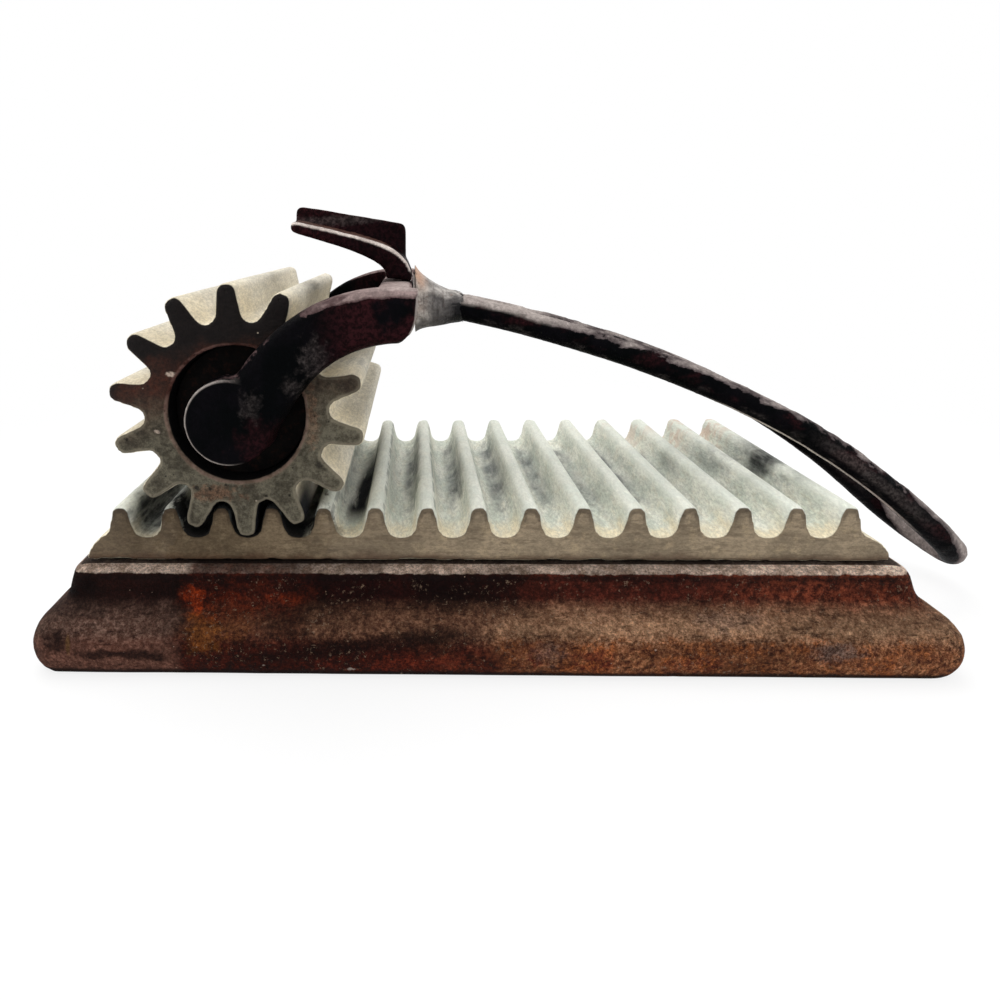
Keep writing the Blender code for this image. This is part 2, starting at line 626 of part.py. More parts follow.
def main():
    for old in list(bpy.data.objects):
        bpy.data.objects.remove(old)

    rust = metal("rusted_cast_iron", (0.045, 0.022, 0.017), 0.75, 0.3)
    plate = metal("grey_worn_metal", (0.42, 0.41, 0.36), 0.5, 0.8)
    black = metal("black_paint", (0.012, 0.009, 0.011), 0.35, 0.1)
    bare = metal("bare_metal", (0.45, 0.43, 0.40), 0.45, 0.9)
    steel = metal("dark_steel", (0.12, 0.11, 0.10), 0.5, 0.9)

    finish_piece(base_plinth(), rust)
    finish_piece(fluted_bed(), plate)
    for number, place in enumerate(screw_places(), start=1):
        name = f"bed_screw_{number}"
        finish_piece(bed_screw(name, place), steel)

    carriage = empty("carriage", (AXLE_X, 0, AXLE_Z))
    finish_piece(axle(), steel, carriage)
    spinning = empty("roller_axis", (0, 0, 0), carriage)
    finish_piece(roller_shell(), plate, spinning)
    swinging = empty("handle_axis", (0, 0, 0), carriage)
    for word, side in (("near", -1), ("far", 1)):
        finish_piece(roller_hub(f"roller_hub_{word}", side), rust, spinning)
        finish_piece(axle_washer(f"axle_washer_{word}", side), steel, carriage)
    finish_piece(yoke(), black, swinging)
    finish_piece(thumb_rest(), black, swinging)
    finish_piece(neck(), bare, swinging)
    finish_piece(handle_loop(), black, swinging)


main()
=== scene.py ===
# The looks of the fluting iron: worn castings meshed over the CAD solids, rust, patina and chipped paint,
# a pale studio floor, and a camera where the photograph's was.

import json
import math

import bmesh
import bpy
import numpy as np
from mathutils import Matrix, Vector


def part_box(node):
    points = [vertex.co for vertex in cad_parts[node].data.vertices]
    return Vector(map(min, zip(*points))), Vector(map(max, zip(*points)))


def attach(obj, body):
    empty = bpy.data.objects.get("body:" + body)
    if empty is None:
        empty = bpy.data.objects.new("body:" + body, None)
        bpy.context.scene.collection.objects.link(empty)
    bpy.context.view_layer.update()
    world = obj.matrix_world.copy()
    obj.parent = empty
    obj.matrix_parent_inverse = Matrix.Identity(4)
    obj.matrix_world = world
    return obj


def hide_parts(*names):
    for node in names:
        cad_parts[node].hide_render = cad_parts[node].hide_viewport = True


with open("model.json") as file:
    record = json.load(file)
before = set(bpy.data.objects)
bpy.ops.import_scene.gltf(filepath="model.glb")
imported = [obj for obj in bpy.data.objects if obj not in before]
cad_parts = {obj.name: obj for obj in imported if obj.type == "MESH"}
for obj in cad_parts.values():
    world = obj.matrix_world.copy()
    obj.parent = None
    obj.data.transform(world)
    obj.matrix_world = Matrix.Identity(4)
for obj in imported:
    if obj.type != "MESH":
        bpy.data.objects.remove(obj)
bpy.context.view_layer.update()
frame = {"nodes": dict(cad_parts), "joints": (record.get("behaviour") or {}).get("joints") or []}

# Lengths are in millimetres, and angles in degrees
MM = 0.001
PITCH = 9.525  # of the bed's teeth
TEETH = 15
GROOVE_DEPTH = 6.0
LEDGE_LEFT = 7.1  # first tooth's middle to the bed's left end
BED_LEFT_X = -87.55  # the bed's left end, which sets the origin that places along X are counted from
DECK_EDGE_Z = 17.5  # where the rubbed edge of the base's deck begins
BORDER_X = -70.0  # left of it the base's face has another colour
BASE_FRONT_Y, ROLLER_FRONT_Y, ARM_FRONT_Y = -45, -37, -44  # the front faces that carry spots
BORE_EDGE = 13.4  # radius, just outside the roller's bore
ROD_SPAN = (32.0, 150.0)  # the rod's start and its tail, to the right of the axle

SKY_LIGHT = 0.95  # the sky's strength, but for where it is seen or mirrored
FLOOR_COLOUR = (0.8, 0.8, 0.8)
FLOOR_WHITE = 0.8  # the share of plain white in the floor's picture near the object
FLOOR_FADE = (110.0, 260.0)  # between these distances from the origin the floor turns plain white
FLOOR_REACH = 6.0  # in metres

CAMERA_PLACE = (55.1, -139.1, 54.4)  # from the first tooth, the bed's front face and the grooves' floor
CAMERA_TURN, CAMERA_TILT, CAMERA_LEAN = -2.24, 12.97, -0.75
CAMERA_LENS, CAMERA_SENSOR = 28.8, 36.0
CAMERA_SHIFT = (0.115, -0.08)
CAMERA_CLIP = 0.01  # in metres

SPIN = next(j for j in frame["joints"] if j["name"] == "roller_spin")
ORIGIN_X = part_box("fluted_bed")[0][0] / MM - BED_LEFT_X


def corners(node):
    """A node's lowest and highest corners in millimetres, along X from the origin above."""
    return tuple(np.array(corner) / MM - (ORIGIN_X, 0, 0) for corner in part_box(node))


AXLE = tuple(float(v) for v in np.array(SPIN["pos_m"]) / MM - (ORIGIN_X, 0, 0))
BED_LOW, BED_HIGH = corners("fluted_bed")
BASE_HIGH = corners("base_plinth")[1]
ROLLER_HIGH = corners("roller_shell")[1]
REST_LOW = corners("thumb_rest")[0]
NECK_LOW, NECK_HIGH = corners("neck")
GROOVE_Z = float(BED_HIGH[2]) - GROOVE_DEPTH
FIRST_TOOTH_X = float(BED_LOW[0]) + LEDGE_LEFT


def lattice(cells, seed):
    """A repeatable value from -1 to 1 for each whole-numbered cell in space."""
    mixed = cells.astype(np.int64) @ np.array([73856093, 19349663, 83492791]) + seed * 2654435761
    mixed = (mixed ^ (mixed >> 13)) * 1274126177
    mixed = (mixed ^ (mixed >> 16)) & 0xFFFFFF
    return mixed / 0x7FFFFF - 1.0


def waves(points, size, seed, octaves=3):
    """Smooth noise from about -1 to 1 at each point, with its largest lumps about one size across."""
    total = np.zeros(len(points))
    weight = 1.0
    for octave in range(octaves):
        scaled = points / size * 2.0 ** octave
        cell = np.floor(scaled)
        share = scaled - cell
        share = share * share * (3 - 2 * share)
        for corner in np.ndindex(2, 2, 2):
            part = np.prod(np.where(corner, share, 1 - share), axis=1)
            total += weight * part * lattice(cell + corner, seed + octave)
        weight *= 0.5
    return total


def recast(node, name, cell, body, smoothing=2):
    """A fine, even mesh over a CAD node, with its edges worn round, that stands for it."""
    source = bmesh.new()
    source.from_mesh(frame["nodes"][node].data)
    bmesh.ops.remove_doubles(source, verts=source.verts, dist=MM / 1000)
    mesh = bpy.data.meshes.new(name)
    source.to_mesh(mesh)
    source.free()
    piece = bpy.data.objects.new(name, mesh)
    bpy.context.scene.collection.objects.link(piece)
    remesh = piece.modifiers.new("remesh", "REMESH")
    remesh.mode = "VOXEL"
    remesh.voxel_size = cell * MM
    smooth = piece.modifiers.new("smooth", "SMOOTH")
    smooth.iterations = smoothing
    bpy.context.view_layer.update()
    worn = piece.evaluated_get(bpy.context.evaluated_depsgraph_get())
    piece.data = bpy.data.meshes.new_from_object(worn)
    piece.modifiers.clear()
    bpy.data.meshes.remove(mesh)
    piece.data.name = name
    piece.data.shade_smooth()
    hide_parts(node)
    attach(piece, body)
    return piece


def places(piece):
    """Every vertex of a piece in millimetres, and the direction out of the surface there."""
    count = len(piece.data.vertices)
    points, normals = np.empty(count * 3), np.empty(count * 3)
    piece.data.vertices.foreach_get("co", points)
    piece.data.vertices.foreach_get("normal", normals)
    return points.reshape(-1, 3) / MM - (ORIGIN_X, 0, 0), normals.reshape(-1, 3)


def press(piece, depth, outward=None):
    """Moves every vertex into the metal by its depth, or against the directions given."""
    points, normals = places(piece)
    outward = normals if outward is None else outward
    moved = (points - outward * depth[:, None] + (ORIGIN_X, 0, 0)) * MM
    piece.data.vertices.foreach_set("co", moved.ravel())
    piece.data.update()


def uneven(points, depth, size, seed):
    """A lumpy skin, which lies from 0 to about twice a depth inside the metal."""
    return depth * (1 + waves(points, size, seed))


def dent(points, place, reach, seed):
    """How strongly each point lies in a dent: 1 in its middle and 0 from its ragged edge on."""
    away = np.linalg.norm((points - np.array(place)) / np.array(reach), axis=1)
    away = away + 0.35 * waves(points, 1.6, seed, octaves=2)
    return np.clip(1.2 * (1 - away), 0, 1)


def pits(points, size, seed, share):
    """Small hollows, 1 where they are deepest, over about a share of the surface."""
    return np.clip((waves(points, size, seed, octaves=2) - 1.5 + 2 * share) * 2, 0, 1)


def linear(red, green, blue):
    """A colour as it is read off a screen, 0 to 255, in Blender's linear values."""
    shares = [value / 255 for value in (red, green, blue)]
    return tuple(s / 12.92 if s < 0.04045 else ((s + 0.055) / 1.055) ** 2.4 for s in shares)


class Paint:
    """A procedural material. Its methods add nodes and give their output."""

    def __init__(self, name):
        self.material = bpy.data.materials.new(name)
        self.material.use_nodes = True
        self.tree = self.material.node_tree
        self.shader = self.tree.nodes["Principled BSDF"]
        coordinates = self.tree.nodes.new("ShaderNodeTexCoord")
        self.place = self.vector("SCALE", coordinates.outputs["Object"], scale=1 / MM)
        self.place = self.vector("SUBTRACT", self.place, (ORIGIN_X, 0.0, 0.0))
        self.x, self.y, self.z = self.split(self.place)
        self.nx, self.ny, self.nz = self.split(coordinates.outputs["Normal"])
        self.heights = []

    def put(self, value, socket):
        if isinstance(value, bpy.types.NodeSocket):
            self.tree.links.new(value, socket)
        else:
            socket.default_value = value

    def split(self, vector):
        node = self.tree.nodes.new("ShaderNodeSeparateXYZ")
        self.put(vector, node.inputs[0])
        return node.outputs[0], node.outputs[1], node.outputs[2]

    def vector(self, operation, a, b=None, scale=None):
        node = self.tree.nodes.new("ShaderNodeVectorMath")
        node.operation = operation
        self.put(a, node.inputs[0])
        if b is not None:
            self.put(b, node.inputs[1])
        if scale is not None:
            node.inputs["Scale"].default_value = scale
        return node.outputs["Value" if operation == "LENGTH" else "Vector"]

    def math(self, operation, first, *others):
        """One operation on a value, or on the result so far and each further value in turn."""
        for other in others or (0.0,):
            node = self.tree.nodes.new("ShaderNodeMath")
            node.operation = operation
            self.put(first, node.inputs[0])
            self.put(other, node.inputs[1])
            first = node.outputs[0]
        return first

    def add(self, *values):
        return self.math("ADD", *values)

    def times(self, *values):
        return self.math("MULTIPLY", *values)

    def highest(self, *values):
        return self.math("MAXIMUM", *values)

    def absolute(self, value):
        return self.math("ABSOLUTE", value)

    def inverse(self, share):
        return self.math("SUBTRACT", 1.0, share)

    def sway(self, value, width):
        """A value from 0 to 1 spread evenly about 0, over a width."""
        return self.times(self.add(value, -0.5), width)

    def rise(self, value, low, high):
        """0 below low, 1 above high and smooth between; low may be the larger one."""
        node = self.tree.nodes.new("ShaderNodeMapRange")
        node.interpolation_type = "SMOOTHSTEP"
        node.inputs["From Min"].default_value = low
        node.inputs["From Max"].default_value = high
        self.put(value, node.inputs["Value"])
        return node.outputs["Result"]

    def noise(self, size, detail=4.0, rough=0.55, stretch=(1, 1, 1), shift=0.0, bend=0.0):
        """Noise from 0 to 1, with lumps about one size across, drawn out along the axes by stretch."""
        where = self.vector("MULTIPLY", self.place, tuple(1 / (size * s) for s in stretch))
        if shift:
            where = self.vector("ADD", where, (shift, shift * 1.7, shift * 0.6))
        node = self.tree.nodes.new("ShaderNodeTexNoise")
        self.put(where, node.inputs["Vector"])
        node.inputs["Scale"].default_value = 1.0
        node.inputs["Detail"].default_value = detail
        node.inputs["Roughness"].default_value = rough
        node.inputs["Distortion"].default_value = bend
        return node.outputs[0]

    def specks(self, size, radius, shift):
        """1 in scattered specks of a radius, one in each cell of a size, and 0 elsewhere."""
        where = self.vector("MULTIPLY", self.place, (1 / size, 1 / size, 1 / size))
        where = self.vector("ADD", where, (shift, shift, shift))
        node = self.tree.nodes.new("ShaderNodeTexVoronoi")
        self.put(where, node.inputs["Vector"])
        node.inputs["Scale"].default_value = 1.0
        return self.rise(node.outputs["Distance"], radius / size, 0.4 * radius / size)

    def blob(self, centre, reach, ragged, size, shift=0.0):
        """1 around a place and 0 beyond its reach along each axis, with an edge that noise makes ragged."""
        away = self.vector("SUBTRACT", self.place, centre)
        away = self.vector("MULTIPLY", away, tuple(1 / r for r in reach))
        away = self.vector("LENGTH", away)
        grain = self.noise(size, 3.0, 0.6, shift=shift)
        away = self.add(away, self.sway(grain, 2 * ragged))
        return self.rise(away, 1.0, 0.35)

    def blobs(self, rows, ragged, size):
        """The highest of several blobs, each given by its place, reach and strength."""
        each = [
            self.times(self.blob(centre, reach, ragged, size, shift=3.1 * number), strength)
            for number, (centre, reach, strength) in enumerate(rows)
        ]
        return self.highest(*each)

    def from_axle(self):
        """How far a place lies from the axle's centre line."""
        away = self.vector("SUBTRACT", self.place, AXLE)
        return self.vector("LENGTH", self.vector("MULTIPLY", away, (1.0, 0.0, 1.0)))

    def mix(self, share, a, b):
        """The first colour where a share is 0, and the second where it is 1."""
        node = self.tree.nodes.new("ShaderNodeMix")
        node.data_type = "RGBA"
        self.put(share, node.inputs[0])
        for value, socket in ((a, node.inputs[6]), (b, node.inputs[7])):
            self.put(value if isinstance(value, bpy.types.NodeSocket) else (*value, 1.0), socket)
        return node.outputs[2]

    def wash(self, colour, share, strength, tint):
        """A colour with a tint laid over it by a share from 0 to 1, times a strength."""
        return self.mix(self.times(share, strength), colour, tint)

    def shade(self, colour, factor):
        """A colour with its brightness multiplied by a value near 1."""
        return self.vector("MULTIPLY", colour, self.join(factor))

    def join(self, value):
        """A vector with the same value along each axis."""
        node = self.tree.nodes.new("ShaderNodeCombineXYZ")
        for socket in node.inputs:
            self.put(value, socket)
        return node.outputs[0]

    def scale_to(self, value, low, high):
        """A value from 0 to 1 spread over another range."""
        return self.add(self.times(value, high - low), low)

    def relief(self, height, depth):
        """Adds a height from 0 to 1, worth a depth in millimetres, to the surface's fine relief."""
        self.heights.append(self.times(height, depth))

    def finish(self, colour, roughness, gloss, metallic=0.0):
        self.put(colour, self.shader.inputs["Base Color"])
        self.put(roughness, self.shader.inputs["Roughness"])
        self.put(metallic, self.shader.inputs["Metallic"])
        self.put(gloss, self.shader.inputs["Specular IOR Level"])
        bump = self.tree.nodes.new("ShaderNodeBump")
        bump.inputs["Distance"].default_value = MM
        self.put(self.add(*self.heights), bump.inputs["Height"])
        self.put(bump.outputs[0], self.shader.inputs["Normal"])
        return self.material


def rusted_iron():
    """The cast base: near black in its hollow by painted shade, brown where it faces up by painted light,
    rusty orange low on the right.
    """
    p = Paint("rusted_iron")
    lumps = p.rise(p.noise(11, 4), 0.4, 0.6)
    grit = p.rise(p.noise(1.3, 5, 0.8, shift=2), 0.36, 0.64)
    grain = p.rise(p.noise(0.5, 4, 0.85, shift=5), 0.38, 0.62)
    broad = p.rise(p.noise(7, 5, 0.65, stretch=(2.5, 1, 1), shift=41), 0.4, 0.6)
    height = p.add(p.z, p.sway(p.noise(3.4, 5, 0.7, shift=6), 3.2))
    border = p.add(p.x, p.sway(p.noise(4.0, 5, 0.7, shift=7), 9.0))
    front = p.rise(p.ny, 0.3, -0.2)
    left = p.times(p.rise(border, BORDER_X + 3.0, BORDER_X - 0.6), front)
    right = p.rise(p.add(p.x, p.times(lumps, 14.0)), -20.0, 16.0)
    middle = p.rise(p.add(p.x, p.times(lumps, 8.0)), -38.0, -48.0)
    middle = p.times(p.rise(border, BORDER_X - 0.4, BORDER_X + 1.6), middle)
    # The hollow under the deck's edge: rust colours made near black by painted shade
    hollow = p.mix(lumps, linear(20, 6, 5), linear(36, 11, 9))
    hollow = p.wash(hollow, middle, 0.8, p.mix(grit, linear(46, 16, 12), linear(84, 34, 21)))
    warm = p.mix(p.rise(p.x, 20.0, 44.0), linear(92, 40, 29), linear(126, 62, 42))
    hollow = p.mix(right, hollow, p.mix(grit, linear(58, 24, 17), warm))
    hollow = p.mix(left, hollow, p.mix(lumps, linear(18, 7, 6), linear(36, 16, 13)))
    # The foot's face, then all that faces up, made paler by painted light
    foot = p.mix(grit, linear(40, 14, 10), linear(84, 34, 24))
    foot = p.mix(right, foot, p.mix(grit, linear(78, 40, 27), linear(146, 92, 62)))
    foot = p.mix(left, foot, p.mix(grit, linear(98, 62, 50), linear(130, 90, 76)))
    colour = p.mix(p.rise(height, 10.5, 7.5), hollow, foot)
    slope = p.mix(grit, linear(82, 51, 38), linear(132, 94, 72))
    slope = p.mix(right, slope, p.mix(grit, linear(136, 98, 73), linear(182, 142, 110)))
    slope = p.mix(left, slope, p.mix(grit, linear(82, 56, 46), linear(118, 91, 79)))
    lit_facing_up = p.rise(p.add(p.nz, p.sway(grain, 0.16)), 0.12, 0.6)
    lit_facing_up = p.times(lit_facing_up, p.rise(height, 14.0, 9.8))
    lit_facing_up = p.times(lit_facing_up, p.add(p.times(middle, -0.6), 1.0))
    colour = p.mix(lit_facing_up, colour, slope)
    # A dark band runs up to the right across the foot, above red rust
    slant = p.add(height, p.times(p.x, -0.115))
    band = p.times(p.rise(p.absolute(p.add(slant, -10.7)), 2.2, 0.5), p.rise(p.x, -60.0, -48.0))
    band = p.times(band, p.rise(p.x, -8.0, -24.0), front)
    colour = p.wash(colour, band, 0.8, linear(34, 15, 12))
    rows = [
        ((-25, BASE_FRONT_Y, 3.4), (13, 7, 2.4), 0.6), ((6, BASE_FRONT_Y, 4), (6, 7, 3), 0.6),
        ((-4, BASE_FRONT_Y, 5), (3, 7, 3), 0.5), ((24, BASE_FRONT_Y, 3.6), (8, 7, 2.6), 0.4),
        ((-52, BASE_FRONT_Y, 12.5), (7, 7, 2), 0.5),
    ]
    red = p.mix(grain, linear(88, 32, 22), linear(132, 54, 34))
    colour = p.mix(p.blobs(rows, 0.9, 1.6), colour, red)
    # Crumbs of orange scale at the right, and a few bare grey places
    crumbs = p.rise(p.noise(1.6, 6, 0.85, shift=19), 0.48, 0.56)
    scale = p.times(crumbs, p.rise(height, 9.5, 7.0))
    scale = p.times(scale, p.rise(p.add(p.x, p.times(lumps, 12.0)), -8.0, 10.0))
    orange = p.mix(p.rise(p.noise(5, 3, shift=23), 0.42, 0.58), linear(172, 118, 82), linear(164, 94, 52))
    colour = p.wash(colour, scale, 0.75, p.shade(orange, p.scale_to(grain, 0.7, 1.3)))
    rows = [
        ((48, BASE_FRONT_Y, 6), (5.5, 7, 2.4), 0.75), ((-2, BASE_FRONT_Y, 5.5), (4, 7, 2.6), 0.45),
        ((30, -42, 10.5), (8, 7, 2), 0.4),
    ]
    grey = p.mix(grain, linear(86, 68, 62), linear(124, 104, 94))
    colour = p.mix(p.blobs(rows, 0.9, 1.6), colour, grey)
    # Left of a sharp border the foot is cracked; right of it lies a bright patch
    wander = p.sway(p.noise(4.5, 4, 0.6, shift=26), 5.0)
    crack = p.rise(p.absolute(p.add(p.z, wander, -4.7)), 1.3, 0.3)
    crack = p.times(crack, p.times(p.rise(p.x, -69.5, -72.0), p.rise(p.x, -89.0, -84.0)))
    crack = p.highest(crack, p.blob((-91.0, -43, 6.8), (3.4, 5, 2.8), 0.7, 1.6))
    colour = p.wash(colour, p.times(crack, front), 0.85, linear(30, 15, 13))
    ochre = p.blob((-88.6, BASE_FRONT_Y, 6.6), (0.6, 5, 2.4), 0.4, 1.0)
    colour = p.wash(colour, ochre, 0.7, linear(126, 92, 54))
    rows = [
        ((-66.2, -43, 13.2), (3.2, 9, 3.0), 0.95), ((-63.6, -44, 8.8), (4.6, 9, 4.0), 0.7),
        ((-60.0, -44, 11.0), (9, 9, 5), 0.22), ((-49.0, -42, 13.4), (5, 9, 1.2), 0.25),
    ]
    patch = p.times(p.blobs(rows, 1.1, 2.0), p.rise(border, BORDER_X + 0.4, BORDER_X + 3.0))
    patch = p.times(patch, p.scale_to(grain, 0.45, 1.0))
    rust = p.mix(p.rise(height, 12.4, 9.6), linear(186, 68, 24), linear(156, 92, 38))
    colour = p.wash(colour, patch, 0.9, rust)
    # The deck's edge is pale, partly rubbed and partly a painted highlight, but for a stretch at the left
    ragged = p.sway(p.noise(1.4, 4, shift=4), 0.7)
    edge = p.rise(p.add(p.z, ragged), DECK_EDGE_Z, DECK_EDGE_Z + 0.3)
    cloud = p.rise(p.noise(2.4, 5, 0.7, shift=11), 0.42, 0.58)
    pale = p.mix(cloud, linear(152, 130, 114), linear(196, 174, 158))
    pale = p.shade(pale, p.scale_to(p.rise(p.x, 0.0, 45.0), 1.0, 1.6))
    stretch = p.times(p.rise(border, BORDER_X, BORDER_X + 4.0), p.rise(p.x, -38.0, -50.0))
    edge = p.times(edge, p.add(p.times(stretch, front, -0.75), 1.0))
    # Painted shade darkens a band just below the deck's edge
    under = p.rise(p.add(p.z, ragged), DECK_EDGE_Z - 1.3, DECK_EDGE_Z - 0.7)
    under = p.times(under, p.rise(p.z, DECK_EDGE_Z, DECK_EDGE_Z - 0.4))
    colour = p.wash(colour, under, 0.6, linear(24, 12, 10))
    colour = p.mix(edge, colour, pale)
    # Painted shade makes a dark seam on the deck where the bed stands on it
    seam = p.rise(p.absolute(p.y), BED_HIGH[1] + 0.25, BED_HIGH[1] + 0.1)
    seam = p.times(seam, p.rise(p.z, DECK_EDGE_Z + 0.7, DECK_EDGE_Z + 1.0))
    colour = p.wash(colour, seam, 0.9, linear(26, 16, 13))
    colour = p.shade(colour, p.times(p.scale_to(grain, 0.58, 1.4), p.scale_to(broad, 0.78, 1.22)))
    colour = p.shade(colour, p.scale_to(grit, 0.86, 1.14))
    # Fissures run along the casting, and pale bits stick to all but its left end
    below = p.rise(p.z, DECK_EDGE_Z - 0.1, DECK_EDGE_Z - 0.7)
    fissure = p.rise(p.noise(1.0, 6, 0.75, stretch=(3.5, 1, 1), shift=43), 0.57, 0.62)
    fissure = p.times(fissure, below)
    colour = p.wash(colour, fissure, 0.6, linear(30, 15, 11))
    bits = p.rise(p.noise(0.9, 6, 0.8, shift=47), 0.585, 0.62)
    bits = p.times(bits, p.rise(border, BORDER_X, BORDER_X + 4.0))
    bits = p.times(bits, p.times(below, p.rise(p.noise(6, 3, shift=49), 0.42, 0.56)))
    colour = p.wash(colour, bits, 0.5, linear(180, 152, 126))
    # A painted contact shadow darkens the base's bottom edge
    colour = p.wash(colour, p.rise(p.z, 2.0, 1.1), 0.9, linear(20, 9, 8))
    specks = p.highest(p.specks(2.6, 0.16, 3.0), p.specks(4.1, 0.26, 9.0))
    specks = p.times(specks, p.rise(p.noise(9, 2, shift=20), 0.46, 0.56))
    colour = p.mix(specks, colour, linear(190, 160, 140))
    rows = [((-37.2, -45.4, 2.0), (0.9, 3, 0.4), 1.0), ((-53.0, -45.4, 2.8), (0.6, 3, 0.3), 0.6)]
    colour = p.wash(colour, p.blobs(rows, 1.2, 0.6), 0.9, linear(206, 190, 178))
    p.relief(grit, 0.3)
    p.relief(grain, 0.25)
    p.relief(fissure, -0.15)
    return p.finish(colour, p.scale_to(grit, 0.7, 0.95), gloss=0.08)


def patina(p, cool, cream, warm_ends, smoke_and_shade, soot_and_shadow, drawn):
    """Pale, oxidised metal, streaked along the flutes, and marked by shares of warmth, of smoke with
    painted shade, and of soot with painted shadow.
    """
    cloud = p.rise(p.noise(4, 5, 0.65, stretch=(1, 3, 1)), 0.4, 0.6)
    along = p.rise(p.noise(1.4, 4, 0.6, stretch=(1, 10, 1), shift=3), 0.42, 0.66)
    speckle = p.rise(p.noise(0.5, 5, 0.8, stretch=(1, 3, 1), shift=8), 0.4, 0.6)
    colour = p.mix(cloud, cool, cream)
    colour = p.mix(p.times(along, drawn), colour, linear(172, 176, 170))
    stains = p.rise(p.noise(1.6, 5, 0.7, stretch=(1, 3, 1), shift=12), 0.5, 0.62)
    colour = p.mix(p.times(stains, drawn), colour, linear(208, 194, 164))
    colour = p.mix(warm_ends, colour, linear(238, 224, 192))
    colour = p.mix(smoke_and_shade, colour, linear(84, 88, 90))
    colour = p.mix(soot_and_shadow, colour, linear(16, 17, 22))
    p.relief(p.noise(1.2, 4, stretch=(1, 3, 1), shift=17), 0.1)
    p.relief(speckle, 0.06)
    return p.shade(colour, p.scale_to(speckle, 0.82, 1.1))


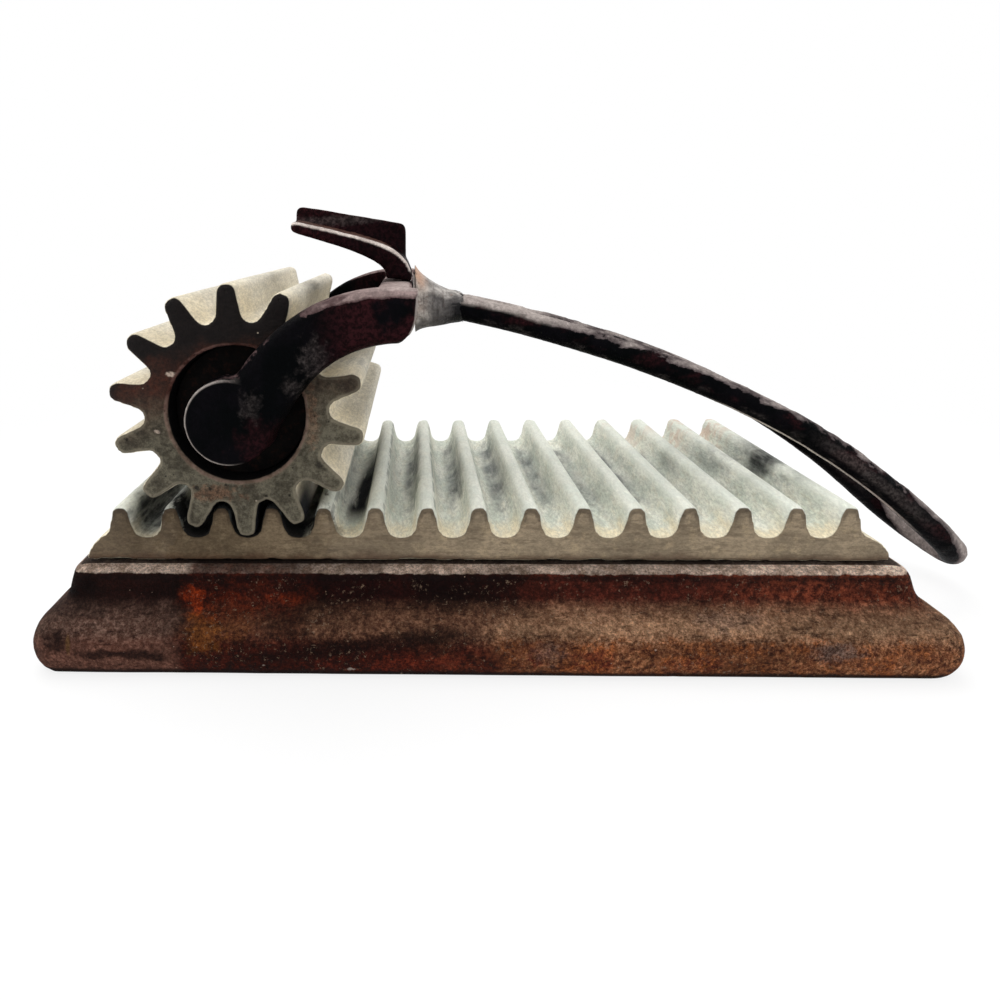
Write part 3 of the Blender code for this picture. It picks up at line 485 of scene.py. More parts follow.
def bed_metal():
    """The toothed bed: patina on its flutes, with painted shade, shadow and highlights, and a dull brown
    skin on its sides.
    """
    p = Paint("bed_metal")
    streak = p.rise(p.noise(1.6, 5, 0.65, stretch=(1, 8, 1), shift=21), 0.4, 0.6)
    cloud = p.rise(p.noise(4, 5, 0.65, stretch=(1, 2.5, 1), shift=22), 0.4, 0.6)
    front_end = p.rise(p.add(p.y, p.times(cloud, 4.0)), -25.0, -34.0)
    front_end = p.times(front_end, p.rise(p.z, GROOVE_Z + 4.2, GROOVE_Z + 1.0))
    # Painted shade, streaked like smoke, lies along one side of each groove's floor, at mid-depth; broad
    # smoke lies further right
    turn = p.math("FRACT", p.times(p.add(p.x, -FIRST_TOOTH_X), 1 / PITCH))
    side = p.scale_to(p.rise(p.x, -36.0, 20.0), -0.74, -0.52)
    painted_flank_shade = p.rise(p.absolute(p.add(turn, side)), 0.3, 0.05)
    depth = p.absolute(p.add(p.y, -4.0, p.sway(cloud, 10.0)))
    painted_flank_shade = p.times(painted_flank_shade, p.rise(depth, 30.0, 12.0))
    strength = p.scale_to(p.rise(p.noise(9, 2, shift=24), 0.42, 0.58), 0.65, 1.0)
    smoke_and_shade = p.times(painted_flank_shade, strength, p.scale_to(streak, 0.75, 1.0))
    broad = p.times(p.rise(p.x, 24.0, 50.0), p.rise(depth, 24.0, 6.0), p.scale_to(cloud, 0.1, 0.6))
    smoke_and_shade = p.highest(p.times(smoke_and_shade, 0.9), broad)
    sooty = [
        ((54, 0, 28), (7, 11, 6), 0.95), ((62, 8, 26), (4, 8, 5), 0.6),
        ((-76, 10, 25), (5, 20, 4), 0.6), ((-76.5, -20, 26), (8, 26, 8), 0.96),
        ((44, 6, 25), (3.0, 9, 4), 0.4), ((24, 4, 25), (2.6, 12, 4), 0.35),
        ((33, 2, 26), (2.6, 12, 5), 0.35),
    ]
    # Painted shadow, mottled like soot stains, lies in the grooves under the roller and on the front ends
    # of the teeth there, darkest at the front. A dark trail runs along a groove to the right.
    ragged = p.sway(cloud, 5.0)
    shaded = p.rise(p.add(p.absolute(p.add(p.x, -AXLE[0])), ragged), 18.5, 12.5)
    deep = p.rise(p.add(p.z, p.times(streak, 0.8)), BED_HIGH[2] + 0.2, GROOVE_Z + 4.0)
    shaded = p.times(shaded, p.highest(deep, p.rise(p.add(p.y, p.times(streak, 3.0)), -22.0, -29.0)))
    thick = p.highest(p.rise(p.y, -12.0, -31.0), p.times(cloud, 0.55))
    shaded = p.times(shaded, p.scale_to(thick, 0.35, 0.98))
    drift = p.absolute(p.add(p.x, p.times(p.y, -0.06), 35.6))
    trail = p.rise(p.add(drift, p.times(streak, 0.8)), 3.3, 1.3)
    trail = p.times(trail, p.times(p.rise(p.y, 24.0, -2.0), p.rise(p.y, -31.0, -19.0)))
    trail = p.times(trail, p.rise(p.z, GROOVE_Z + 5.4, GROOVE_Z + 4.2))
    shaded = p.highest(shaded, trail)
    soot_and_shadow = p.highest(p.times(p.blobs(sooty, 0.45, 7.0), p.scale_to(streak, 0.8, 1.0)), shaded)
    cool, cream = linear(219, 224, 211), linear(242, 242, 229)
    colour = patina(p, cool, cream, p.times(front_end, 0.85), smoke_and_shade, soot_and_shadow, drawn=0.2)
    # A painted highlight pales the teeth's crests, except under the soot, smoke and painted shade
    crest = p.rise(p.z, GROOVE_Z + 3.6, GROOVE_Z + 5.4)
    colour = p.wash(colour, p.times(crest, p.inverse(p.highest(soot_and_shadow, smoke_and_shade))), 0.5, linear(230, 233, 221))
    # A painted shadow runs as a thin dark line beside each crest, broken in places
    crest_shadow_line = p.rise(p.absolute(p.add(turn, -0.16)), 0.03, 0.012)
    crest_shadow_line = p.times(crest_shadow_line, p.rise(p.noise(6, 3, shift=27), 0.44, 0.52))
    colour = p.wash(colour, crest_shadow_line, 0.5, linear(96, 100, 98))
    tips = p.times(p.rise(p.y, 14.0, 31.0), p.rise(p.x, 15.0, 45.0))
    tips = p.times(tips, p.rise(p.noise(4, 4, shift=25), 0.42, 0.58))
    colour = p.wash(colour, tips, 0.6, linear(206, 172, 150))
    # Front and back faces
    wide = p.rise(p.noise(9, 4, shift=31), 0.38, 0.62)
    dashes = p.noise(1.2, 4, 0.65, stretch=(7, 1, 1), shift=33)
    skin = p.mix(p.rise(p.x, -66.0, -10.0), linear(98, 84, 66), linear(142, 127, 105))
    skin = p.shade(skin, p.scale_to(wide, 0.82, 1.12))
    skin = p.wash(skin, p.rise(dashes, 0.5, 0.62), 0.38, linear(80, 66, 52))
    pale = p.scale_to(p.rise(p.x, -60.0, 0.0), 0.12, 0.4)
    pale = p.times(p.rise(p.noise(2.6, 5, 0.7, shift=36), 0.53, 0.64), pale)
    skin = p.mix(pale, skin, linear(168, 150, 120))
    foot = p.add(p.z, p.sway(p.noise(5, 4, shift=37), 3.0))
    skin = p.wash(skin, p.rise(foot, BED_LOW[2] + 2.2, BED_LOW[2] + 0.3), 0.6, linear(74, 50, 38))
    fine = p.rise(p.noise(0.6, 5, 0.8, stretch=(2, 1, 1), shift=40), 0.4, 0.6)
    skin = p.shade(skin, p.scale_to(fine, 0.82, 1.16))
    flat = p.absolute(p.ny)
    outline = p.times(p.rise(flat, 0.999, 0.97), p.rise(p.z, GROOVE_Z + 1.5, GROOVE_Z + 4.5))
    skin = p.wash(skin, outline, 0.5, linear(44, 34, 28))
    ends = p.rise(flat, 0.55, 0.8)
    colour = p.mix(ends, colour, skin)
    p.relief(p.times(dashes, ends), 0.3)
    rough = p.scale_to(p.noise(4, 3, shift=44), 0.5, 0.75)
    gloss = p.scale_to(soot_and_shadow, 0.2, 0.03)
    return p.finish(colour, rough, gloss, metallic=p.times(p.inverse(ends), 0.08))


def roller_metal():
    """The toothed roller: the same patina, with painted shade on its lowest flutes, and soot and rust over
    the top of its end faces.
    """
    p = Paint("roller_metal")
    ax, _, az = AXLE
    streak = p.rise(p.noise(1.6, 4, 0.6, stretch=(1, 10, 1), shift=2), 0.4, 0.62)
    rows = [((ax + 12, -6, az + 21), (3, 14, 5), 0.5), ((ax + 19, -22, az + 10), (8, 12, 8), 0.4)]
    smoke_and_shade = p.times(p.highest(p.blobs(rows, 0.5, 6.0), 0.14), p.scale_to(streak, 0.3, 1.0))
    # Painted shade, mottled like soot, darkens the lowest flutes where the roller meets the bed, most at
    # the front
    thick = p.highest(p.rise(p.y, -16.0, -33.0), p.times(streak, 0.55))
    low = p.times(p.rise(p.z, az - 12.5, az - 17.0), p.scale_to(thick, 0.3, 1.0))
    low = p.times(low, p.rise(p.y, 38.0, 30.0))
    warm = p.times(p.rise(p.y, -20.0, -36.0), 0.6)
    cool, cream = linear(231, 222, 202), linear(246, 238, 219)
    colour = patina(p, cool, cream, warm, smoke_and_shade, low, drawn=0.1)
    across = p.add(p.times(p.add(p.x, -ax), -0.18), p.times(p.add(p.z, -az), 0.98))
    across = p.add(across, p.sway(p.noise(6, 5, 0.6, shift=5), 14.0))
    radius = p.from_axle()
    mottle = p.rise(p.noise(2.4, 5, 0.7, shift=7), 0.4, 0.6)
    fine = p.rise(p.noise(0.6, 5, 0.8, shift=40), 0.4, 0.6)
    skin = p.mix(mottle, linear(68, 63, 52), linear(96, 91, 77))
    brown = p.mix(mottle, linear(40, 29, 23), linear(62, 46, 35))
    skin = p.wash(skin, p.rise(across, -6.0, 8.0), 0.9, brown)
    glow = p.times(p.rise(across, 0.0, 9.0), p.rise(across, 19.0, 12.0))
    skin = p.mix(p.times(glow, p.scale_to(mottle, 0.4, 0.85)), skin, linear(66, 28, 18))
    skin = p.mix(p.rise(across, 8.0, 15.0), skin, linear(18, 12, 11))
    rims = p.times(p.rise(p.add(radius, p.times(mottle, 1.2)), 21.2, 22.8), p.rise(across, -2.0, 9.0))
    skin = p.wash(skin, rims, 0.8, linear(20, 14, 14))
    ring = p.rise(radius, BORE_EDGE + 0.2, BORE_EDGE - 0.8)
    ring = p.times(ring, p.rise(p.noise(3, 4, shift=12), 0.46, 0.56))
    skin = p.wash(skin, ring, 0.25, linear(90, 48, 32))
    rows = [
        ((ax - 4.5, ROLLER_FRONT_Y, az - 14.6), (6, 4, 2), 0.3),
        ((ax + 13.4, ROLLER_FRONT_Y, az - 1), (1.6, 4, 6), 0.25),
    ]
    rust = p.mix(fine, linear(98, 60, 42), linear(138, 92, 66))
    skin = p.mix(p.blobs(rows, 1.2, 1.2), skin, rust)
    # A few chips are bright, and a few pits dark
    rows = [
        ((ax - 11.3, ROLLER_FRONT_Y, az + 7.4), (1.0, 3, 0.6), 0.8),
        ((ax + 12.5, ROLLER_FRONT_Y, az + 5.6), (0.6, 3, 0.6), 0.9),
        ((ax + 17.8, ROLLER_FRONT_Y, az - 10.1), (0.9, 3, 0.6), 0.7),
        ((ax - 14.5, ROLLER_FRONT_Y, az - 3.0), (0.6, 3, 0.5), 0.6),
    ]
    skin = p.mix(p.blobs(rows, 0.8, 0.8), skin, linear(196, 176, 160))
    rows = [
        ((ax + 14.5, ROLLER_FRONT_Y, az - 9.2), (1.0, 3, 0.8), 0.6),
        ((ax + 3.6, ROLLER_FRONT_Y, az - 16.0), (1.0, 3, 0.6), 0.9),
        ((ax - 8.0, ROLLER_FRONT_Y, az - 13.6), (0.8, 3, 0.6), 0.8),
    ]
    skin = p.mix(p.blobs(rows, 0.8, 0.8), skin, linear(24, 20, 18))
    dots = p.highest(p.specks(2.2, 0.34, 1.0), p.specks(1.3, 0.2, 4.0))
    dots = p.times(dots, p.rise(p.noise(5, 2, shift=15), 0.48, 0.56))
    skin = p.wash(skin, dots, 0.85, linear(26, 24, 20))
    pale = p.times(p.specks(3.0, 0.26, 6.0), p.rise(p.noise(7, 2, shift=18), 0.5, 0.58))
    skin = p.mix(pale, skin, linear(190, 176, 156))
    skin = p.shade(skin, p.scale_to(fine, 0.7, 1.28))
    flat = p.absolute(p.ny)
    worn = p.times(p.rise(flat, 0.995, 0.9), p.rise(across, 8.0, -2.0))
    skin = p.wash(skin, worn, 0.5, linear(140, 132, 114))
    ends = p.rise(flat, 0.5, 0.7)
    inside = p.rise(radius, BORE_EDGE, BORE_EDGE - 0.5)
    colour = p.mix(p.highest(ends, inside), colour, skin)
    bore = p.times(inside, p.rise(flat, 0.7, 0.3))
    colour = p.mix(bore, colour, p.mix(mottle, linear(3, 3, 4), linear(12, 8, 9)))
    lip = p.times(inside, p.rise(flat, 0.98, 0.9), p.rise(flat, 0.45, 0.6))
    colour = p.wash(colour, lip, 0.5, p.mix(mottle, linear(84, 48, 40), linear(132, 98, 90)))
    p.relief(p.times(p.rise(p.noise(1.4, 5, 0.7, stretch=(4, 1, 1), shift=22), 0.4, 0.6), ends), 0.1)
    p.relief(dots, -0.3)
    rough = p.scale_to(p.noise(4, 3, shift=44), 0.5, 0.75)
    flutes = p.inverse(p.highest(ends, inside))
    return p.finish(colour, rough, gloss=0.15, metallic=p.times(flutes, 0.08))


def black_paint(name, rubbed, maroon, dust_and_sheen, under, lines):
    """Old black lacquer, worn to an undercoat where rubbed is high, with maroon, dust and painted sheen,
    and pale lines, most of them painted highlights.
    """
    p = Paint(name)
    wide = p.rise(p.noise(7, 4, shift=3), 0.4, 0.6)
    grain = p.rise(p.noise(0.8, 5, 0.8, shift=9), 0.4, 0.6)
    colour = p.mix(wide, linear(2, 3, 4), linear(7, 6, 9))
    colour = p.mix(maroon(p), colour, p.mix(grain, linear(20, 7, 9), linear(40, 16, 19)))
    edge = p.add(rubbed(p), p.sway(p.noise(3.0, 5, 0.68, shift=14, bend=0.3), 0.8))
    bare = p.rise(edge, 0.4, 0.52)
    worn = p.mix(p.rise(edge, 0.5, 1.0), linear(*under[0]), linear(*under[1]))
    worn = p.shade(worn, p.scale_to(p.rise(p.noise(1.8, 5, 0.7, shift=16), 0.4, 0.6), 0.82, 1.12))
    colour = p.mix(bare, colour, worn)
    dust_and_sheen_share = dust_and_sheen(p)
    colour = p.mix(dust_and_sheen_share, colour, p.mix(grain, linear(60, 53, 52), linear(96, 88, 86)))
    colour = p.mix(lines(p), colour, p.mix(wide, linear(194, 182, 175), linear(224, 212, 204)))
    colour = p.shade(colour, p.scale_to(grain, 0.8, 1.18))
    p.relief(bare, -0.12)
    p.relief(p.noise(3.0, 3, shift=19), 0.25)
    p.relief(grain, 0.04)
    rough = p.add(p.scale_to(wide, 0.35, 0.5), p.times(p.highest(bare, dust_and_sheen_share), 0.3))
    return p.finish(colour, rough, gloss=0.02)


def handle_paint():
    """The rod's lacquer: its upper side rubbed dull and painted paler as a highlight, silvery by the neck
    and palest at the tail.
    """
    start, end = (AXLE[0] + reach for reach in ROD_SPAN)

    def rubbed(p):
        # The upper side is paler, partly lacquer worn away in scales and partly a painted highlight; the
        # tail is worn palest
        tail = p.rise(p.add(p.x, p.times(p.nz, 5.0)), end - 10, end - 3)
        kept = p.rise(p.noise(6, 4, 0.65, stretch=(2.5, 1, 1), shift=33), 0.46, 0.6)
        upper = p.times(p.rise(p.nz, 0.0, 0.85), p.scale_to(kept, 0.92, 0.5))
        return p.highest(upper, tail)

    def maroon(p):
        streaks = p.rise(p.noise(5, 4, stretch=(2, 1, 1), shift=27), 0.48, 0.6)
        return p.times(streaks, p.rise(p.nz, -0.6, 0.2), 0.8)

    def dust_and_sheen(p):
        # A painted sheen of reflected light lies along the bar's side towards the tail; dust flecks its
        # underside
        sheen = p.times(p.rise(p.x, start + 78, start + 88), p.rise(p.x, end - 8, end - 20))
        band = p.times(p.rise(p.nz, -0.5, -0.1), p.rise(p.nz, 0.5, 0.1))
        bottom = p.rise(p.noise(2.4, 5, 0.75, stretch=(3, 1, 1), shift=30), 0.52, 0.66)
        bottom = p.times(bottom, p.rise(p.nz, 0.0, -0.7))
        return p.highest(p.times(sheen, band, 0.35), p.times(bottom, 0.3))

    def lines(p):
        # A painted glint of reflected light runs along the near bar's lower edge; the top is silvery by the
        # neck
        glint = p.times(p.rise(p.ny, -0.5, -0.34), p.rise(p.ny, -0.02, -0.12))
        glint = p.times(glint, p.rise(p.nz, -0.3, -0.6), p.rise(p.y, -3.6, -5.0))
        stretch = p.times(p.rise(p.x, start + 58, start + 70), p.rise(p.x, end - 12, end - 20))
        glint = p.times(glint, stretch)
        silver = p.times(p.rise(p.nz, 0.3, 0.7), p.rise(p.x, start + 34, start + 22))
        return p.highest(p.times(glint, 0.9), p.times(silver, 0.5))

    return black_paint("handle_paint", rubbed, maroon, dust_and_sheen, ((86, 77, 77), (148, 138, 134)), lines)


def yoke_paint():
    """The yoke's lacquer: dull on top, maroon towards the bridge, dusty, with painted highlights along its
    edges.
    """
    ax, _, az = AXLE

    def rubbed(p):
        along = p.rise(p.x, ax + 10, ax + 24)
        kept = p.rise(p.noise(7, 4, 0.65, stretch=(2, 1, 1), shift=35), 0.48, 0.62)
        upper = p.times(p.rise(p.nz, 0.05, 0.7), p.scale_to(kept, 1.05, 0.62))
        return p.times(upper, p.scale_to(along, 0.4, 1.0))

    def maroon(p):
        end = p.times(p.rise(p.x, ax + 14, ax + 22), p.rise(p.noise(5, 4, shift=6), 0.34, 0.54))
        low = p.blob((ax + 6, ARM_FRONT_Y, az - 4), (6, 6, 6), 0.9, 2.4, 8.0)
        return p.highest(p.times(end, 0.95), p.times(low, 0.6))

    def dust_and_sheen(p):
        rows = [
            ((ax + 15.0, ARM_FRONT_Y, az + 10.5), (3.2, 6, 4.6), 0.65),
            ((ax + 11.4, ARM_FRONT_Y, az + 6.0), (2.0, 6, 2.6), 0.5),
            ((ax + 4.0, ARM_FRONT_Y, az + 2.8), (2.4, 4, 3.4), 0.4),
        ]
        grit = p.rise(p.noise(0.9, 5, 0.8, shift=51), 0.38, 0.62)
        return p.times(p.blobs(rows, 1.1, 1.2), p.scale_to(grit, 0.15, 0.5))

    def lines(p):
        # Painted highlights: a thin line round the boss's edge and an outline at the arm's end; the top
        # near the end is faintly paler
        radius = p.from_axle()
        rim = p.times(p.rise(radius, 7.0, 7.35), p.rise(radius, 8.1, 7.8))
        rim = p.times(rim, p.rise(p.x, ax + 3.0, ax - 4.0), p.rise(p.absolute(p.ny), 0.2, 0.45))
        end = p.times(p.rise(p.absolute(p.ny), 0.9, 0.6), p.rise(p.nx, 0.4, 0.75))
        end = p.times(end, p.rise(p.x, ax + 30.0, ax + 31.5), p.rise(p.absolute(p.y), 34.0, 37.0))
        crown = p.times(p.rise(p.nz, 0.75, 0.95), p.rise(p.x, ax + 22.0, ax + 31.0))
        return p.highest(p.times(rim, 0.5), p.times(end, 0.5), p.times(crown, 0.25))

    return black_paint("yoke_paint", rubbed, maroon, dust_and_sheen, ((86, 68, 68), (140, 122, 119)), lines)


def rest_paint():
    """The thumb rest's lacquer: maroon, most so at the tip, with dust along its rib and painted highlights
    on its edges.
    """
    tip = (float(REST_LOW[0]), 0.0, float(REST_LOW[2]) + 9)

    def rubbed(p):
        return p.times(p.rise(p.nz, 0.7, 0.95), 0.56)

    def maroon(p):
        return p.highest(p.times(p.rise(p.x, tip[0] + 22, tip[0] + 4), 0.95), 0.5)

    def dust_and_sheen(p):
        seam = p.blob((tip[0] + 8, 0.0, tip[2] + 3.4), (12, 9, 1.4), 0.7, 1.4, 4.0)
        return p.times(seam, 0.35)

    def lines(p):
        # A painted highlight runs along the blade's rounded edges on both sides
        edge = p.times(p.rise(p.absolute(p.y), 6.6, 7.4), p.rise(p.nz, 0.12, 0.4))
        return p.times(edge, p.rise(p.nz, 0.97, 0.85))

    return black_paint("rest_paint", rubbed, maroon, dust_and_sheen, ((78, 55, 48), (102, 80, 73)), lines)


def bare_neck():
    """Brazed metal, silvery, with a copper tint at the bridge, turning marks, and paint on its far end."""
    p = Paint("bare_neck")
    start = float(NECK_LOW[0])
    cloud = p.rise(p.noise(2.6, 4, 0.6), 0.36, 0.64)
    grain = p.rise(p.noise(0.6, 4, 0.75, shift=4), 0.34, 0.66)
    colour = p.mix(cloud, linear(128, 123, 118), linear(190, 184, 178))
    copper = p.times(p.rise(p.x, start + 3.5, start + 0.5), p.rise(p.nz, -0.2, 0.6))
    colour = p.mix(copper, colour, linear(196, 158, 134))
    # Painted shade darkens the neck's underside
    colour = p.wash(colour, p.rise(p.nz, 0.1, -0.7), 0.75, linear(74, 70, 72))
    marks = p.rise(p.noise(0.5, 2, 0.5, stretch=(1, 12, 12), shift=8), 0.58, 0.66)
    colour = p.wash(colour, marks, 0.4, linear(96, 86, 82))
    colour = p.wash(colour, p.rise(p.noise(1.3, 4, shift=11), 0.56, 0.68), 0.5, linear(104, 78, 66))
    painted = p.add(p.x, -start, p.sway(p.noise(1.8, 4, shift=15), 4.0))
    painted = p.add(painted, p.times(p.highest(p.add(p.nz, -0.2), 0.0), -9.0))
    colour = p.wash(colour, p.rise(painted, 1.5, 5.5), 0.8, linear(58, 55, 57))
    colour = p.mix(p.rise(painted, 6.0, 8.4), colour, linear(14, 13, 16))
    colour = p.shade(colour, p.scale_to(grain, 0.84, 1.14))
    p.relief(cloud, 0.3)
    p.relief(marks, -0.1)
    p.relief(grain, 0.05)
    return p.finish(colour, p.scale_to(cloud, 0.4, 0.6), gloss=0.2, metallic=0.2)


def dull_steel(name, light, dark, rust, gloss):
    """Plain turned metal, dulled and freckled with rust."""
    p = Paint(name)
    cloud = p.noise(2.2, 4)
    fine = p.noise(0.35, 3, 0.7, shift=5)
    colour = p.mix(p.rise(cloud, 0.35, 0.65), dark, light)
    colour = p.wash(colour, p.rise(p.noise(1.4, 5, 0.7, shift=8), 0.5, 0.66), 0.8, rust)
    colour = p.shade(colour, p.scale_to(fine, 0.75, 1.2))
    p.relief(cloud, 0.15)
    p.relief(fine, 0.06)
    return p.finish(colour, p.scale_to(cloud, 0.45, 0.75), gloss, metallic=0.2)


def dress(piece, material):
    """Gives a piece one material."""
    piece.data.materials.clear()
    piece.data.materials.append(material)


def cast_base():
    """The base, with a lumpy casting skin, pits in its foot and chips out of the deck's edge."""
    piece = recast("base_plinth", "base_casting", cell=1.0, body="base")
    points, _ = places(piece)
    skirt = np.clip((BASE_HIGH[2] - 0.6 - points[:, 2]) / 2.0, 0, 1) * np.clip(points[:, 2] / 1.5, 0, 1)
    depth = uneven(points, 0.14, size=9.0, seed=1) * skirt
    depth += 0.3 * pits(points, size=2.6, seed=5, share=0.34) * skirt
    chips = [
        ((-29.3, -38.9, 18.3), (3.2, 1.4, 1.3), 0.7), ((22.4, -38.9, 18.3), (3.4, 1.6, 1.5), 0.8),
        ((-80.1, -38.5, 18.4), (4.5, 1.3, 1.2), 0.5), ((52.0, -38.6, 18.3), (3.0, 1.2, 1.2), 0.5),
        ((-8.0, -38.8, 18.4), (1.8, 1.0, 1.0), 0.5), ((-90.6, -43.0, 6.5), (2.6, 2.2, 2.4), 0.9),
        ((-55.0, 39.0, 18.3), (3.0, 1.5, 1.4), 0.7), ((30.0, 38.8, 18.4), (4.0, 1.3, 1.2), 0.6),
    ]
    for number, (place, reach, deep) in enumerate(chips):
        depth += deep * dent(points, place, reach, seed=20 + number)
    press(piece, depth)
    dress(piece, rusted_iron())


def flute_bed():
    """The toothed bed, a little uneven, with nicked corners and a ragged lower edge."""
    piece = recast("fluted_bed", "flute_bed", cell=0.7, body="base")
    points, _ = places(piece)
    depth = uneven(points * (1, 0.35, 1), 0.035, size=4.0, seed=2)
    outer = np.abs(points[:, 1]) > BED_HIGH[1] - 1.0
    lower = np.clip((BED_LOW[2] + 1.0 - points[:, 2]), 0, 1) * outer
    depth += 0.45 * lower * np.clip(waves(points, size=3.5, seed=8), 0, 1)
    for tooth in range(TEETH):
        crest_x = FIRST_TOOTH_X + tooth * PITCH + 0.8 * math.sin(5 * tooth)
        for side in (BED_LOW[1], BED_HIGH[1]):
            nick = dent(points, (crest_x, side, BED_HIGH[2]), (1.6, 1.4, 1.4), seed=40 + tooth)
            depth += 0.22 * nick
    press(piece, depth)
    dress(piece, bed_metal())


def flute_roller():
    """The toothed roller, with a few pits in its end faces."""
    piece = recast("roller_shell", "flute_roller", cell=0.65, body="roller")
    points, _ = places(piece)
    depth = uneven(points * (1, 0.35, 1), 0.03, size=3.5, seed=3)
    face = np.clip((np.abs(points[:, 1]) - ROLLER_HIGH[1] + 0.7) * 2, 0, 1)
    depth += 0.16 * pits(points, size=1.8, seed=12, share=0.3) * face
    press(piece, depth)
    dress(piece, roller_metal())


def cast_yoke():
    """The forked casting, its surface slightly lumpy and its corners run together."""
    piece = recast("yoke", "cast_yoke", cell=0.55, body="handle", smoothing=4)
    points, _ = places(piece)
    press(piece, uneven(points, 0.06, size=4.5, seed=4))
    dress(piece, yoke_paint())


def rod_handle():
    """The bent rod, dented and with its lacquer broken away in scales."""
    piece = recast("handle_loop", "rod_handle", cell=0.55, body="handle", smoothing=3)
    points, normals = places(piece)
    depth = uneven(points, 0.05, size=6.0, seed=5)
    upper = np.clip(normals[:, 2] * 2, 0, 1)
    depth += 0.16 * upper * np.clip(3 * waves(points, size=5.0, seed=15), 0, 1)
    press(piece, depth)
    dress(piece, handle_paint())


def cast_rest():
    """The thumb rest, softened where its rib meets the blade."""
    piece = recast("thumb_rest", "cast_rest", cell=0.45, body="handle", smoothing=4)
    points, _ = places(piece)
    press(piece, uneven(points, 0.05, size=4.0, seed=6))
    dress(piece, rest_paint())


def brazed_neck():
    """The neck, uneven where the brazing ran, hollowed along its top and drawn in to meet the rod."""
    piece = recast("neck", "brazed_neck", cell=0.4, body="handle", smoothing=14)
    points, normals = places(piece)
    along = np.clip((points[:, 0] - NECK_LOW[0]) / (NECK_HIGH[0] - NECK_LOW[0]), 0, 1)
    hollow = np.sin(np.pi * along) * np.clip(normals[:, 2] + 0.3, 0, 1)
    press(piece, uneven(points, 0.06, size=2.5, seed=7) + 0.9 * hollow)
    spread = (points - points[along > 0.9].mean(axis=0)) * (0, 1, 1)
    press(piece, 0.12 * along ** 4, spread)
    dress(piece, bare_neck())


def small_parts():
    """Materials for the CAD nodes that stay as they are."""
    steel = dull_steel("dull_steel", linear(120, 112, 104), linear(66, 60, 58), linear(96, 56, 38), 0.4)
    hub = dull_steel("sooty_iron", linear(14, 11, 10), linear(5, 4, 4), linear(30, 16, 12), 0.04)
    for name, node in frame["nodes"].items():
        if name.startswith("roller_hub"):
            dress(node, hub)
        elif name.startswith(("bed_screw", "axle")):
            dress(node, steel)


def floor():
    """A pale floor that turns plain white away from the object, and keeps its shadow."""
    mesh = bpy.data.meshes.new("studio_floor")
    square = [(x * FLOOR_REACH, y * FLOOR_REACH, 0) for x, y in ((-1, -1), (1, -1), (1, 1), (-1, 1))]
    mesh.from_pydata(square, [], [(0, 1, 2, 3)])
    ground = bpy.data.objects.new("studio_floor", mesh)
    bpy.context.scene.collection.objects.link(ground)
    p = Paint("studio_floor")
    tree = p.tree
    path = tree.nodes.new("ShaderNodeLightPath")
    seen = p.highest(path.outputs["Is Camera Ray"], path.outputs["Is Glossy Ray"])
    seen = p.highest(seen, path.outputs["Is Transmission Ray"])
    tree.nodes.remove(p.shader)
    matt = tree.nodes.new("ShaderNodeBsdfDiffuse")
    p.put(p.mix(seen, FLOOR_COLOUR, (1.0, 1.0, 1.0)), matt.inputs["Color"])
    plain = tree.nodes.new("ShaderNodeEmission")
    far = p.rise(p.vector("LENGTH", p.place), *FLOOR_FADE)
    far = p.times(p.scale_to(far, FLOOR_WHITE, 1.0), seen)
    blend = tree.nodes.new("ShaderNodeMixShader")
    p.put(far, blend.inputs[0])
    tree.links.new(matt.outputs[0], blend.inputs[1])
    tree.links.new(plain.outputs[0], blend.inputs[2])
    tree.links.new(blend.outputs[0], tree.nodes["Material Output"].inputs["Surface"])
    mesh.materials.append(p.material)


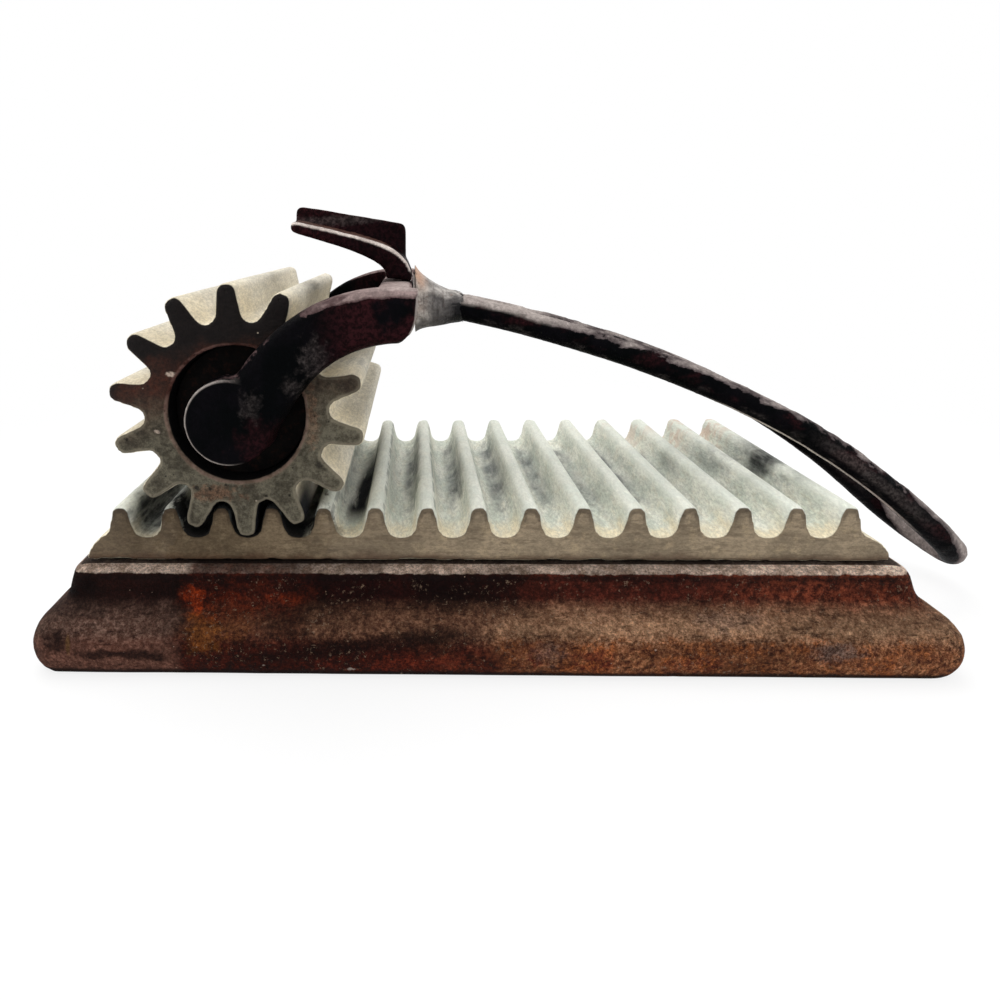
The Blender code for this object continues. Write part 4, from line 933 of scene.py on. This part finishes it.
def sky():
    """White where it is seen or mirrored, and a soft half-light otherwise."""
    world = bpy.data.worlds.new("studio")
    world.use_nodes = True
    bpy.context.scene.world = world
    nodes, links = world.node_tree.nodes, world.node_tree.links
    path = nodes.new("ShaderNodeLightPath")
    strength = nodes.new("ShaderNodeMath")
    strength.operation = "MAXIMUM"
    strength.inputs[1].default_value = SKY_LIGHT
    seen = path.outputs["Is Camera Ray"]
    for other in ("Is Glossy Ray", "Is Transmission Ray"):
        either = nodes.new("ShaderNodeMath")
        either.operation = "MAXIMUM"
        links.new(seen, either.inputs[0])
        links.new(path.outputs[other], either.inputs[1])
        seen = either.outputs[0]
    links.new(seen, strength.inputs[0])
    background = nodes["Background"]
    background.inputs["Color"].default_value = (1, 1, 1, 1)
    links.new(strength.outputs[0], background.inputs["Strength"])


def lamp(name, towards, power, spread):
    """A broad, far lamp that shines along a direction."""
    light = bpy.data.lights.new(name, "SUN")
    light.energy = power
    light.angle = math.radians(spread)
    made = bpy.data.objects.new(name, light)
    made.rotation_euler = Vector(towards).to_track_quat("-Z", "Y").to_euler()
    bpy.context.scene.collection.objects.link(made)


def camera():
    """The photograph's camera: its place, turn, tilt and slight lean."""
    turn, tilt, lean = (math.radians(a) for a in (CAMERA_TURN, CAMERA_TILT, CAMERA_LEAN))
    forward = Vector((math.sin(turn) * math.cos(tilt), math.cos(turn) * math.cos(tilt), -math.sin(tilt)))
    level = Vector((math.cos(turn), -math.sin(turn), 0))
    above = level.cross(forward)
    right = level * math.cos(lean) + above * math.sin(lean)
    up = above * math.cos(lean) - level * math.sin(lean)
    lens = bpy.data.cameras.new("camera")
    lens.lens = CAMERA_LENS
    lens.sensor_width = CAMERA_SENSOR
    lens.shift_x, lens.shift_y = CAMERA_SHIFT
    lens.clip_start = CAMERA_CLIP
    view = bpy.data.objects.new("camera", lens)
    corner = np.array((ORIGIN_X + FIRST_TOOTH_X, BED_LOW[1], GROOVE_Z))
    place = Vector(corner + CAMERA_PLACE) * MM
    view.matrix_world = Matrix.Translation(place) @ Matrix((right, up, -forward)).transposed().to_4x4()
    bpy.context.scene.collection.objects.link(view)
    bpy.context.scene.camera = view


bpy.context.scene.view_settings.view_transform = "Standard"
cast_base()
flute_bed()
flute_roller()
cast_yoke()
rod_handle()
cast_rest()
brazed_neck()
small_parts()
floor()
sky()
lamp("key", towards=(0.25, -0.5, -1.0), power=1.2, spread=50)
lamp("fill", towards=(0.3, 1.0, -0.5), power=0.45, spread=60)
camera()
